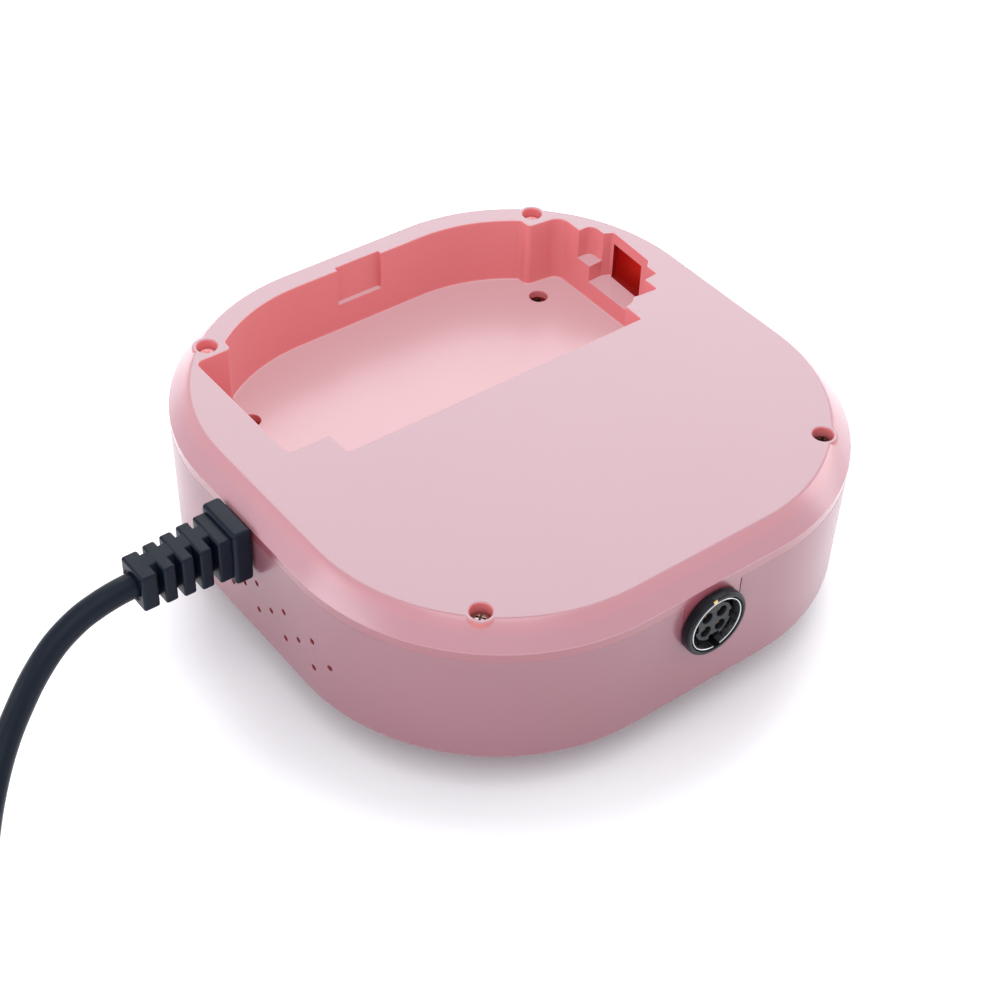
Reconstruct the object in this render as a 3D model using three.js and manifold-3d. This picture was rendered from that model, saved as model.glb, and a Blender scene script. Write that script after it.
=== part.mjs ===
// Control box of an electric nail drill, lying on its control side with the base cover up.
// Millimetres, +Z up. The origin is on the table, under the middle of the box.
// -X is the wall with the mains lead, -Y the wall with the handpiece socket.
import * as THREE from "three";
import { mergeVertices } from "three/addons/utils/BufferGeometryUtils.js";
import Module from "manifold-3d";

const wasm = await Module();
wasm.setup();

// ---- driving dimensions ----
const GAP = 0.3; // between neighbouring pieces
const WALL = 2.2;
const HALF_X = 68;
const HALF_Y = 69;
const CORNER_R = 50;
const CORNER_STEPS = 9;
const STAND = 9; // the display hub holds the box this far off the table
const BASE_Z = STAND + 37.4; // the base cover's flat outer face
const CREASE_Z = BASE_Z - 5.1; // where the sloped band ends
const SEAM_Z = BASE_Z - 7.5; // between the cover and the housing
const BAND_IN = 5; // the flat face stands in from the side by this
const FACE_IN_Z = STAND + WALL; // inner side of the control face

// Screws that hold the case together, one in each corner.
const SCREW_X = 46.5;
const SCREW_Y = 51.5;
const RECESS_R = 2.35;
const BOSS_R = 3.4;
const POST_R = 3.1;
const RECESS_FLOOR = BASE_Z - 3.7;
const BOSS_FOOT = BASE_Z - 13.4;
const SHANK_R = 1.4;
const HEAD_R = 2;
const HEAD_H = 1.6;

// The pocket in the base cover.
const POCKET_NEAR = 3; // the near edge, as y
const POCKET_HALF = 41;
const POCKET_FAR = 58.8;
const POCKET_CORNER_R = 39.8;
const WING_HALF = 51.6;
const WING_NEAR = 9.9;
const WING_FAR = 47.6;
const BOSS_SIDE = 42.4;
const POCKET_FLOOR = BASE_Z - 17.5;
const POCKET_WALL = 1.8;
const NICHE = { x: 57.7, near: 14.4, far: 34.6, step: 55.4, stepY: 19, floor: BASE_Z - 12.6 };
const SHELF = { x: 55.6, near: 34.4, far: 39.1, floor: BASE_Z - 8.1 };
const WINDOW = { near: 22, far: 33, top: BASE_Z - 3 };
const LATCH = { half: 6.3, deep: 1.2, bottom: BASE_Z - 10.2 };
const FLOOR_SCREW = { x: 41.9, y: 41.8, r: 2.3 };

// Handpiece socket in the -Y wall.
const SOCKET_Z = BASE_Z - 15;
const SOCKET_OUT = 2.4;
const BEZEL_R = 8;
const BARREL_R = 7.1;
const SHIELD_R = 6.66;
const SOCKET_DEEP = 13;

// Mains lead and its strain relief in the -X wall.
const LEAD_D = 5.6;
const LEAD_Y = 4.2;
const LEAD_Z = BASE_Z - 10.8;
const RELIEF_END = -(HALF_X + 25.4);
const NECK = 8.4;
const VENT_R = 0.75;

// Speed ring around the display, on the control side.
const RING_R = 31;
const RING_IN_R = 24.3;
const SKIRT_R = 27.3;
const HUB_R = 23.7;
const FACE_HOLE_R = 28.6;
const GEAR = { teeth: 60, pinion: 12, module: 1, low: FACE_IN_Z + 0.5, high: FACE_IN_Z + 2.1 };
const PCB_Z = 16;
const PCB_T = 1.6;

const BUTTON_Y = -48;
const BUTTON_PITCH = 17;
const BUTTON_R = 4.6;
const BUTTON_TRAVEL = 1;

// Inside: the board that carries the mains parts hangs from the base cover.
const POWER_Z = 21;
const SMALL_POST_R = 2.6;
const SMALL_SHANK_R = 1;
const NUT_R = 9.2;
const RELIEF_FLANGE = 5.6; // half of the side of the relief's inner flange
const controlBoardScrews = [
  [-38, 24],
  [38, 24],
  [38, -40],
  [-38, -40],
];
const powerBoardScrews = [
  [-8, -7],
  [-52, -42],
];
const TRANSFORMER = { x: 32, y: -24, z: 21, half: 23, high: 20 };
const transformerScrews = [
  [TRANSFORMER.x - 27, TRANSFORMER.y],
  [TRANSFORMER.x + 27, TRANSFORMER.y],
];

// ---- materials ----
function finish(color, roughness, metalness) {
  return new THREE.MeshStandardMaterial({ color, roughness, metalness });
}
const PINK = finish("#e3bcc4", 0.35, 0);
const BLACK = finish("#1d2126", 0.5, 0);
const GLOSS_BLACK = finish("#101216", 0.15, 0);
const STEEL = finish("#a9abad", 0.35, 1);
const DARK_STEEL = finish("#4a3a34", 0.5, 0.9);
const ALUMINIUM = finish("#c3c5c9", 0.4, 1);
const BRASS = finish("#b8933f", 0.35, 1);
const BOARD = finish("#2f6b45", 0.6, 0);
const COPPER = finish("#a35a32", 0.45, 0.8);
const LAMINATION = finish("#5b5d60", 0.6, 0.8);
const WHITE = finish("#e9e7e2", 0.5, 0);

// ---- solids ----
function solid(geometry) {
  const bare = geometry.clone();
  bare.deleteAttribute("normal");
  bare.deleteAttribute("uv");
  const merged = mergeVertices(bare, 1e-4);
  return new wasm.Manifold(
    new wasm.Mesh({
      numProp: 3,
      vertProperties: new Float32Array(merged.attributes.position.array),
      triVerts: new Uint32Array(merged.index.array),
    }),
  );
}

function geometryOf(made) {
  const { vertProperties, triVerts } = made.getMesh();
  const geometry = new THREE.BufferGeometry();
  geometry.setAttribute("position", new THREE.BufferAttribute(vertProperties, 3));
  geometry.setIndex(new THREE.BufferAttribute(triVerts, 1));
  return geometry;
}

const join = (first, ...rest) => rest.reduce((all, one) => all.add(one), first);
const cut = (first, ...rest) => rest.reduce((all, one) => all.subtract(one), first);

function block(x0, x1, y0, y1, z0, z1) {
  const geometry = new THREE.BoxGeometry(x1 - x0, y1 - y0, z1 - z0);
  return solid(geometry.translate((x0 + x1) / 2, (y0 + y1) / 2, (z0 + z1) / 2));
}

// An upright round bar; r1 is the radius at its top.
function rod(r, x, y, z0, z1, sides = 20, r1 = r) {
  const geometry = new THREE.CylinderGeometry(r1, r, z1 - z0, sides);
  return solid(geometry.rotateX(Math.PI / 2).translate(x, y, (z0 + z1) / 2));
}

// A round bar along Y, about (x, z).
function rodY(r, x, z, y0, y1, sides = 24) {
  const geometry = new THREE.CylinderGeometry(r, r, y1 - y0, sides);
  return solid(geometry.translate(x, (y0 + y1) / 2, z));
}

// A round bar along X, about (y, z).
function rodX(r, y, z, x0, x1, sides = 12) {
  const geometry = new THREE.CylinderGeometry(r, r, x1 - x0, sides);
  return solid(geometry.rotateZ(Math.PI / 2).translate((x0 + x1) / 2, y, z));
}

function tube(outer, inner, x, y, z0, z1, sides = 40) {
  return cut(rod(outer, x, y, z0, z1, sides), rod(inner, x, y, z0 - 1, z1 + 1, sides));
}

function prism(shape, z0, z1, curveSegments = 8) {
  const options = { depth: z1 - z0, bevelEnabled: false, curveSegments };
  return solid(new THREE.ExtrudeGeometry(shape, options).translate(0, 0, z0));
}

// A closed skin through rings of points, lowest ring first, each ring convex.
function loft(rings) {
  const count = rings[0].length;
  const points = [];
  const middle = (ring) =>
    ring.reduce((sum, p) => sum.add(p), new THREE.Vector3()).divideScalar(count);
  const face = (...corners) => corners.forEach((p) => points.push(p.x, p.y, p.z));
  const low = middle(rings[0]);
  const high = middle(rings.at(-1));
  for (let i = 0; i < count; i++) {
    const j = (i + 1) % count;
    for (let k = 1; k < rings.length; k++) {
      face(rings[k - 1][i], rings[k - 1][j], rings[k][j]);
      face(rings[k - 1][i], rings[k][j], rings[k][i]);
    }
    face(low, rings[0][j], rings[0][i]);
    face(high, rings.at(-1)[i], rings.at(-1)[j]);
  }
  const geometry = new THREE.BufferGeometry();
  geometry.setAttribute("position", new THREE.Float32BufferAttribute(points, 3));
  return solid(geometry);
}

// The box's rounded-square outline, moved in by inset, at height z.
function boxRing([inset, z]) {
  const ring = [];
  const r = CORNER_R - inset;
  for (let quarter = 0; quarter < 4; quarter++) {
    const sx = quarter === 0 || quarter === 3 ? 1 : -1;
    const sy = quarter < 2 ? 1 : -1;
    for (let step = 0; step <= CORNER_STEPS; step++) {
      const angle = ((quarter + step / CORNER_STEPS) * Math.PI) / 2;
      const x = sx * (HALF_X - CORNER_R) + r * Math.cos(angle);
      const y = sy * (HALF_Y - CORNER_R) + r * Math.sin(angle);
      ring.push(new THREE.Vector3(x, y, z));
    }
  }
  return ring;
}
const boxLoft = (...profile) => loft(profile.map(boxRing));

// ---- the model's group ----
const nailDrill = new THREE.Group();
const box = new THREE.Group(); // the socket stands out of one wall, so the box sits off the middle
box.position.y = SOCKET_OUT / 2;
nailDrill.add(box);

function add(name, made, material, parent = box) {
  const mesh = new THREE.Mesh(made.getMesh ? geometryOf(made) : made, material);
  mesh.name = name;
  parent.add(mesh);
  return mesh;
}

// ---- shared cutting shapes ----
const corners = [
  [-SCREW_X, SCREW_Y],
  [SCREW_X, SCREW_Y],
  [SCREW_X, -SCREW_Y],
  [-SCREW_X, -SCREW_Y],
];
const slotAbove = SEAM_Z + 1; // the housing's slots run out through its rim
const neckHole = block(
  -HALF_X - 9,
  -HALF_X + 5,
  LEAD_Y - NECK / 2 - GAP,
  LEAD_Y + NECK / 2 + GAP,
  LEAD_Z - NECK / 2 - GAP,
  LEAD_Z + NECK / 2 + GAP,
);
const barrelHole = rodY(BARREL_R + GAP, 0, SOCKET_Z, -HALF_Y - 4, -HALF_Y + 6);

// The pocket's outline, grown outwards by grow.
function pocketShape(grow) {
  const shape = new THREE.Shape();
  const centreX = HALF_X - CORNER_R;
  const centreY = HALF_Y - CORNER_R;
  const r = POCKET_CORNER_R + grow;
  const bossX = BOSS_SIDE + grow;
  const bossAngle = Math.acos((bossX - centreX) / r);
  const wingX = WING_HALF + grow;
  const wingFar = WING_FAR + grow;
  const wingNear = WING_NEAR - grow;
  const soft = 2; // radius of the wing's corners
  shape.moveTo(-POCKET_HALF - grow, POCKET_NEAR - grow);
  shape.lineTo(POCKET_HALF + grow, POCKET_NEAR - grow);
  shape.lineTo(POCKET_HALF + grow, wingNear);
  shape.lineTo(wingX - soft, wingNear);
  shape.absarc(wingX - soft, wingNear + soft, soft, -Math.PI / 2, 0);
  shape.absarc(wingX - soft, wingFar - soft, soft, 0, Math.PI / 2);
  shape.lineTo(bossX, wingFar);
  shape.absarc(centreX, centreY, r, bossAngle, Math.PI / 2);
  shape.absarc(-centreX, centreY, r, Math.PI / 2, Math.PI - bossAngle);
  shape.lineTo(-bossX, wingFar);
  shape.absarc(-wingX + soft, wingFar - soft, soft, Math.PI / 2, Math.PI);
  shape.absarc(-wingX + soft, wingNear + soft, soft, Math.PI, Math.PI * 1.5);
  shape.lineTo(-POCKET_HALF - grow, wingNear);
  return shape;
}

// The deeper niche beside the pocket, with its stepped near side.
function nicheShape(grow) {
  const shape = new THREE.Shape();
  const inner = WING_HALF - 1;
  shape.moveTo(inner, NICHE.near - grow);
  shape.lineTo(NICHE.step + grow, NICHE.near - grow);
  shape.lineTo(NICHE.step + grow, NICHE.stepY - grow);
  shape.lineTo(NICHE.x + grow, NICHE.stepY - grow);
  shape.lineTo(NICHE.x + grow, NICHE.far + grow);
  shape.lineTo(inner, NICHE.far + grow);
  return shape;
}

const openTop = BASE_Z + 1;

function pocketHollow() {
  const { half, deep, bottom } = LATCH;
  const window = block(NICHE.x - 1, NICHE.x + 3, WINDOW.near, WINDOW.far, NICHE.floor, WINDOW.top);
  return join(
    prism(pocketShape(0), POCKET_FLOOR, openTop),
    prism(nicheShape(0), NICHE.floor, openTop),
    block(WING_HALF - 1, SHELF.x, SHELF.near, SHELF.far, SHELF.floor, openTop),
    block(-half, half, POCKET_FAR - 1, POCKET_FAR + deep, bottom, openTop),
    window,
  );
}

function pocketShell() {
  const top = BASE_Z - 1;
  const w = POCKET_WALL;
  const latchWall = POCKET_FAR + LATCH.deep + w;
  return join(
    prism(pocketShape(w), POCKET_FLOOR - w, top),
    prism(nicheShape(w), NICHE.floor - w, top),
    block(WING_HALF - 1, SHELF.x + w, SHELF.near, SHELF.far + w, SHELF.floor - w, top),
    block(-LATCH.half - w, LATCH.half + w, POCKET_FAR - 1, latchWall, LATCH.bottom - w, top),
  );
}

// ---- base cover ----
function baseCover() {
  const outside = boxLoft(
    [0.45, SEAM_Z + GAP],
    [0.45, CREASE_Z - 0.3],
    [0.12, CREASE_Z],
    [2.3, BASE_Z - 2.5],
    [BAND_IN, BASE_Z],
  );
  const inside = boxLoft(
    [2.6, SEAM_Z - 1],
    [2.6, CREASE_Z - 1],
    [BAND_IN + 1.6, BASE_Z - WALL],
  );
  const lip = boxLoft([WALL + GAP + 0.2, SEAM_Z - 2], [WALL + GAP + 0.2, SEAM_Z + 1]);
  const lipInside = boxLoft([4, SEAM_Z - 3], [4, SEAM_Z + 2]);
  const half = BEZEL_R - 0.3;
  const tab = block(-half, half, -HALF_Y + 0.1, -HALF_Y + WALL, SOCKET_Z, SEAM_Z + 1);
  const leadHalf = NECK / 2;
  const leadTab = block(
    -HALF_X + 0.1,
    -HALF_X + WALL,
    LEAD_Y - leadHalf,
    LEAD_Y + leadHalf,
    LEAD_Z,
    SEAM_Z + 1,
  );
  const bosses = corners.map(([x, y]) => rod(BOSS_R, x, y, BOSS_FOOT, BASE_Z));
  const floorBosses = [-1, 1].map((side) =>
    rod(3.6, side * FLOOR_SCREW.x, FLOOR_SCREW.y, POCKET_FLOOR - 6, POCKET_FLOOR - 1, 16),
  );
  const boardPosts = powerBoardScrews.map(([x, y]) =>
    rod(SMALL_POST_R, x, y, POWER_Z + PCB_T + GAP, BASE_Z - 1, 12),
  );
  const frameTop = TRANSFORMER.z + TRANSFORMER.high + GAP + 0.8;
  const framePosts = transformerScrews.map(([x, y]) =>
    rod(SMALL_POST_R, x, y, frameTop + GAP, BASE_Z - 1, 12),
  );
  const shell = cut(outside, inside);
  const rim = cut(lip, lipInside);
  const pillars = [...bosses, ...floorBosses, ...boardPosts, ...framePosts];
  const whole = join(shell, rim, tab, leadTab, pocketShell(), ...pillars);
  const recesses = corners.flatMap(([x, y]) => [
    rod(RECESS_R, x, y, RECESS_FLOOR, openTop),
    rod(SHANK_R + GAP, x, y, BOSS_FOOT - 1, RECESS_FLOOR + 1, 12),
  ]);
  const floorHoles = [-1, 1].flatMap((side) => [
    rod(FLOOR_SCREW.r, side * FLOOR_SCREW.x, FLOOR_SCREW.y, POCKET_FLOOR - 3.4, openTop, 16),
    rod(SHANK_R, side * FLOOR_SCREW.x, FLOOR_SCREW.y, POCKET_FLOOR - 7, POCKET_FLOOR, 12),
  ]);
  // Room for the socket's nut, the strain relief's inner flange and the housing's posts.
  const nutRoom = rodY(NUT_R + 0.5, 0, SOCKET_Z, -HALF_Y + WALL, -HALF_Y + 9, 24);
  const flange = RELIEF_FLANGE + 2 * GAP;
  const reliefRoom = block(
    -HALF_X + WALL,
    -HALF_X + 8,
    LEAD_Y - flange,
    LEAD_Y + flange,
    SEAM_Z - 3,
    LEAD_Z + flange,
  );
  const postRoom = corners.map(([x, y]) => rod(POST_R + GAP, x, y, STAND, BOSS_FOOT));
  const rooms = [nutRoom, reliefRoom, ...postRoom];
  const boardHoles = powerBoardScrews.map(([x, y]) =>
    rod(SMALL_SHANK_R, x, y, POWER_Z, POWER_Z + PCB_T + 7, 8),
  );
  const frameHoles = transformerScrews.map(([x, y]) =>
    rod(SMALL_SHANK_R, x, y, frameTop, BASE_Z - 1.4, 8),
  );
  const holes = [...recesses, ...floorHoles, ...boardHoles, ...frameHoles];
  return cut(whole, pocketHollow(), barrelHole, neckHole, ...rooms, ...holes);
}

// ---- main housing ----
function ventHoles() {
  const holes = [];
  const first = { y: 8.75, z: BASE_Z - 28 };
  const group = -10.5; // from one slanting row to the next
  const step = { y: -5.2, z: 3.9 };
  for (let row = -2; row <= 3; row++) {
    for (let k = 0; k < 3; k++) {
      const y = first.y + row * group + k * step.y;
      if (y < -30) continue;
      const z = first.z + k * step.z;
      holes.push(rodX(VENT_R, y, z, -HALF_X - 3, -HALF_X + 6, 6));
      holes.push(rodX(VENT_R, -y, z, HALF_X - 6, HALF_X + 3, 6));
    }
  }
  return holes;
}

function mainHousing() {
  const outside = boxLoft(
    [2.4, STAND],
    [1, STAND + 0.6],
    [0.4, STAND + 2.2],
    [0, SEAM_Z],
  );
  const inside = boxLoft([WALL + 0.8, FACE_IN_Z], [WALL, FACE_IN_Z + 2], [WALL, SEAM_Z + 1]);
  const posts = corners.map(([x, y]) => rod(POST_R, x, y, STAND + 1, BOSS_FOOT - GAP));
  const boardPosts = controlBoardScrews.map(([x, y]) =>
    rod(SMALL_POST_R, x, y, STAND + 1, PCB_Z - GAP, 12),
  );
  const boardHoles = controlBoardScrews.map(([x, y]) =>
    rod(SMALL_SHANK_R, x, y, FACE_IN_Z, PCB_Z, 8),
  );
  const half = BEZEL_R - 0.1;
  const socketSlot = block(-half, half, -HALF_Y - 1, -HALF_Y + 4, SOCKET_Z, slotAbove);
  const neck = NECK / 2 + GAP;
  const leadSlot = block(
    -HALF_X - 1,
    -HALF_X + 4,
    LEAD_Y - neck,
    LEAD_Y + neck,
    LEAD_Z - neck,
    slotAbove,
  );
  const pilots = corners.map(([x, y]) =>
    rod(SHANK_R + GAP, x, y, BOSS_FOOT - 12, BOSS_FOOT + 1, 12),
  );
  const buttonHoles = buttonPlaces.map((x) =>
    rod(BUTTON_R + GAP, x, BUTTON_Y, STAND - 1, FACE_IN_Z + 1),
  );
  const ringHole = rod(FACE_HOLE_R, 0, 0, STAND - 1, FACE_IN_Z + 1, 48);
  const holes = [...pilots, ...boardHoles, ...buttonHoles, ...ventHoles()];
  return cut(
    join(cut(outside, inside), ...posts, ...boardPosts),
    socketSlot,
    barrelHole,
    leadSlot,
    ringHole,
    ...holes,
  );
}

// ---- screws ----
function screw(x, y, headTop, length) {
  const slotW = 0.35;
  const arm = 1.15;
  const shank = headTop - HEAD_H;
  const body = join(
    rod(HEAD_R, x, y, shank, headTop, 20),
    rod(SHANK_R - 0.05, x, y, headTop - length, shank + 0.2, 10),
  );
  const slots = [
    block(x - arm, x + arm, y - slotW, y + slotW, headTop - 0.8, headTop + 1),
    block(x - slotW, x + slotW, y - arm, y + arm, headTop - 0.8, headTop + 1),
  ];
  return cut(body, ...slots);
}

// ---- control side ----
const buttonPlaces = [-BUTTON_PITCH, 0, BUTTON_PITCH];
const buttonNames = ["mode_button", "power_button", "direction_button"];

function displayHub() {
  const wall = 1.8;
  const lensSeat = 2.2;
  return join(
    tube(HUB_R, HUB_R - wall, 0, 0, lensSeat - 0.8, PCB_Z - GAP),
    tube(HUB_R - wall + 0.5, HUB_R - 6, 0, 0, lensSeat, lensSeat + 1.2),
  );
}

function speedRing() {
  const flutes = 24;
  const low = 0.9;
  const body = join(
    rod(RING_R - 1.2, 0, 0, low, low + 1.2, 48, RING_R),
    rod(RING_R, 0, 0, low + 1.2, STAND - 0.4, 48),
    rod(SKIRT_R, 0, 0, STAND - 1, GEAR.high, 48),
  );
  const grooves = [];
  for (let k = 0; k < flutes; k++) {
    const angle = (k * 2 * Math.PI) / flutes;
    const r = RING_R + 0.45;
    grooves.push(rod(0.9, r * Math.cos(angle), r * Math.sin(angle), low + 1.6, STAND, 6));
  }
  return cut(body, rod(RING_IN_R, 0, 0, 0, GEAR.high + 1, 48), ...grooves);
}

// A spur gear's outline: straight-sided teeth, one of them centred on angle start.
function gearShape(teeth, start) {
  const pitchR = (teeth * GEAR.module) / 2;
  const tip = pitchR + 0.62 * GEAR.module;
  const root = pitchR - 1.05 * GEAR.module;
  const turn = (2 * Math.PI) / teeth;
  const shape = new THREE.Shape();
  for (let k = 0; k < teeth; k++) {
    const middle = start + k * turn;
    const corner = [
      [root, -0.34],
      [tip, -0.1],
      [tip, 0.1],
      [root, 0.34],
    ];
    corner.forEach(([r, part], i) => {
      const angle = middle + part * turn;
      const p = [r * Math.cos(angle), r * Math.sin(angle)];
      if (k + i === 0) shape.moveTo(...p);
      else shape.lineTo(...p);
    });
  }
  return shape;
}
const GEAR_SPAN = ((GEAR.teeth + GEAR.pinion) * GEAR.module) / 2 + 0.1;

function ringGear() {
  const toothed = prism(gearShape(GEAR.teeth, 0), GEAR.low, GEAR.high);
  return cut(toothed, rod(SKIRT_R + GAP, 0, 0, GEAR.low - 1, GEAR.high + 1, 48));
}

function encoderPinion() {
  const wheel = prism(gearShape(GEAR.pinion, Math.PI / GEAR.pinion), GEAR.low, GEAR.high);
  return join(wheel, rod(1.5, 0, 0, GEAR.high - 0.5, PCB_Z - 0.8, 16));
}

function encoderBody() {
  const half = 5.5;
  const low = GEAR.high + GAP;
  const can = block(-half, half, -half, half, low, PCB_Z - GAP);
  return cut(can, rod(1.5 + GAP, 0, 0, low - 1, PCB_Z + 1, 16));
}

function button(x) {
  const flange = BUTTON_R + 1.2;
  const low = STAND - 1.9;
  return join(
    rod(BUTTON_R - 0.5, x, BUTTON_Y, low, low + 0.5, 24, BUTTON_R),
    rod(BUTTON_R, x, BUTTON_Y, low + 0.5, FACE_IN_Z + 0.6, 24),
    rod(flange, x, BUTTON_Y, FACE_IN_Z + 0.3, FACE_IN_Z + 1.3, 24),
  );
}

// ---- boards and what stands on them ----
const screwHoles = (places, z) =>
  places.map(([x, y]) => rod(SMALL_SHANK_R + 0.2, x, y, z - 1, z + PCB_T + 1, 8));

// A small screw with its head at z, driven up or down.
function smallScrew(x, y, z, up, length = 6) {
  const head = { r: 2, h: 1.2 };
  const sign = up ? 1 : -1;
  const ends = (a, b) => [Math.min(a, b), Math.max(a, b)];
  const [headLow, headHigh] = ends(z, z - sign * head.h);
  const [low, high] = ends(z - sign * 0.2, z + sign * length);
  const cap = rod(head.r, x, y, headLow, headHigh, 16);
  return join(cap, rod(SMALL_SHANK_R - 0.05, x, y, low, high, 8));
}

function controlBoard() {
  const shape = new THREE.Shape();
  const half = 44;
  const near = -58;
  const far = 30;
  shape.moveTo(-half + 8, near);
  shape.lineTo(half - 8, near);
  shape.lineTo(half, near + 14);
  shape.lineTo(half, far);
  shape.lineTo(-half, far);
  shape.lineTo(-half, near + 14);
  return cut(prism(shape, PCB_Z, PCB_Z + PCB_T), ...screwHoles(controlBoardScrews, PCB_Z));
}

function powerBoard() {
  const board = block(-56, -4, -46, -3, POWER_Z, POWER_Z + PCB_T);
  return cut(board, ...screwHoles(powerBoardScrews, POWER_Z));
}

function transformerCore() {
  const { x, y, z, half, high } = TRANSFORMER;
  const stack = 8;
  const outer = block(x - half, x + half, y - stack, y + stack, z, z + high);
  const windows = [-1, 1].map((side) => {
    const middle = x + side * 10.5;
    return block(middle - 4.5, middle + 4.5, y - stack - 1, y + stack + 1, z + 4, z + high - 4);
  });
  return cut(outer, ...windows);
}

// The winding fills the core's two windows and passes round its middle limb.
function transformerWinding() {
  const { x, y, z, high } = TRANSFORMER;
  const out = 13.5;
  const deep = 15;
  const notch = 1.5;
  const body = block(x - out, x + out, y - deep, y + deep, z + 4.4, z + high - 4.4);
  const limb = block(x - 6.3, x + 6.3, y - 8.3, y + 8.3, z, z + high);
  const edges = [-1, 1].flatMap((sx) =>
    [-1, 1].map((sy) => {
      const cx = x + sx * out;
      const cy = y + sy * deep;
      return block(cx - notch, cx + notch, cy - notch, cy + notch, z, z + high);
    }),
  );
  return cut(body, limb, ...edges);
}

// A strap over the core, with an ear at each end.
function transformerFrame() {
  const { x, y, z, half, high } = TRANSFORMER;
  const sheet = 0.8;
  const wide = 5;
  const low = z + high + GAP;
  const out = half + GAP;
  const ear = 6.5;
  const strap = block(x - out - ear, x + out + ear, y - wide, y + wide, low, low + sheet);
  const legs = [
    block(x - out - sheet, x - out, y - wide, y + wide, z + 2, low + sheet),
    block(x + out, x + out + sheet, y - wide, y + wide, z + 2, low + sheet),
  ];
  return cut(join(strap, ...legs), ...screwHoles(transformerScrews, low));
}

function capacitor(x, y, z, r, h) {
  return join(
    rod(r, x, y, z, z + h * 0.8, 24),
    rod(r - 0.4, x, y, z + h * 0.8 - 0.1, z + h * 0.8 + 0.5, 24),
    rod(r, x, y, z + h * 0.8 + 0.4, z + h, 24),
  );
}

function heatSink(x, y, z) {
  const fins = [];
  for (let k = 0; k < 5; k++) {
    const fx = x - 10 + k * 5;
    fins.push(block(fx - 0.6, fx + 0.6, y, y + 8, z, z + 17));
  }
  return join(block(x - 10.6, x + 10.6, y - 1, y + 1, z, z + 17), ...fins);
}

// ---- handpiece socket ----
function socketBezel() {
  const front = -HALF_Y - SOCKET_OUT;
  const back = -HALF_Y + SOCKET_DEEP;
  const collar = rodY(BEZEL_R, 0, SOCKET_Z, front, -HALF_Y - GAP, 32);
  const barrel = rodY(BARREL_R, 0, SOCKET_Z, front + 1, back, 32);
  const hollow = rodY(SHIELD_R + GAP, 0, SOCKET_Z, front - 1, back - 1.5, 32);
  return cut(join(collar, barrel), hollow);
}

function socketShield() {
  const front = -HALF_Y - SOCKET_OUT + 0.25;
  const back = -HALF_Y + SOCKET_DEEP - 1.9;
  const inner = SHIELD_R - 0.45;
  const ring = cut(
    rodY(SHIELD_R, 0, SOCKET_Z, front, back, 32),
    rodY(inner, 0, SOCKET_Z, front - 1, back + 1, 32),
  );
  return cut(ring, block(-0.2, 1.5, front - 1, back + 1, SOCKET_Z - 8, SOCKET_Z));
}

const CONTACT_OFF = 1.95;
const contacts = [
  [-CONTACT_OFF, CONTACT_OFF],
  [CONTACT_OFF, CONTACT_OFF],
  [-CONTACT_OFF, -CONTACT_OFF],
  [CONTACT_OFF, -CONTACT_OFF],
];

function socketInsulator() {
  const front = -HALF_Y - SOCKET_OUT + 1.2;
  const back = -HALF_Y + SOCKET_DEEP - 1.9;
  const inner = SHIELD_R - 0.45;
  const plug = join(
    rodY(4.9, 0, SOCKET_Z, front, back, 32),
    rodY(inner - GAP, 0, SOCKET_Z, back - 3, back, 32),
  );
  const key = block(-0.9, 1.9, front - 1, back - 3.4, SOCKET_Z - 6, SOCKET_Z - 3.7);
  const sides = [-1, 1].map((side) =>
    block(side * 4.9 - 0.8, side * 4.9 + 0.8, front - 1, back - 3.4, SOCKET_Z - 1, SOCKET_Z + 1),
  );
  const holes = contacts.map(([x, z]) => rodY(0.95, x, SOCKET_Z + z, front - 1, back + 1, 12));
  return cut(plug, key, ...sides, ...holes);
}

function socketContact([x, z]) {
  const front = -HALF_Y - SOCKET_OUT + 2.2;
  const back = -HALF_Y + SOCKET_DEEP - 1.9;
  const pin = rodY(0.6, x, SOCKET_Z + z, front, back, 10);
  return cut(pin, rodY(0.3, x, SOCKET_Z + z, front - 1, front + 4, 8));
}

function socketNut() {
  const low = -HALF_Y + WALL + GAP;
  const nut = rodY(NUT_R, 0, SOCKET_Z, low, low + 2.5, 6);
  return cut(nut, rodY(BARREL_R + GAP, 0, SOCKET_Z, low - 1, low + 4, 32));
}

// ---- mains strain relief ----
const RELIEF_SLOTS = { first: 8.65, pitch: 4.12, count: 4, width: 1.6 };

function strainRelief() {
  const wallX = -HALF_X;
  const flangeX = wallX - 1.2;
  const bar = (x0, x1, half, halfZ = half) =>
    block(x0, x1, LEAD_Y - half, LEAD_Y + half, LEAD_Z - halfZ, LEAD_Z + halfZ);
  const insideX = wallX + WALL + GAP;
  const inner = bar(insideX, insideX + 3, RELIEF_FLANGE);
  const neck = bar(flangeX - 1, insideX + 1, NECK / 2);
  const flange = bar(flangeX - 3.7, flangeX, 6.5, 7);
  const start = flangeX - 3;
  const length = start - RELIEF_END;
  const taper = new THREE.CylinderGeometry(4.3 * Math.SQRT2, 5.4 * Math.SQRT2, length, 4, 1);
  taper.rotateY(Math.PI / 4).rotateZ(Math.PI / 2);
  taper.translate((start + RELIEF_END) / 2, LEAD_Y, LEAD_Z);
  const slots = [];
  const { first, pitch, count, width } = RELIEF_SLOTS;
  const spine = 1.9;
  const reach = 7;
  for (let k = 0; k < count; k++) {
    const x = wallX - first - k * pitch;
    for (const [y0, y1] of [
      [LEAD_Y + spine, LEAD_Y + reach],
      [LEAD_Y - reach, LEAD_Y - spine],
    ]) {
      slots.push(block(x - width / 2, x + width / 2, y0, y1, LEAD_Z - reach, LEAD_Z + reach));
    }
  }
  return join(cut(solid(taper), ...slots), inner, neck, flange);
}

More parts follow.
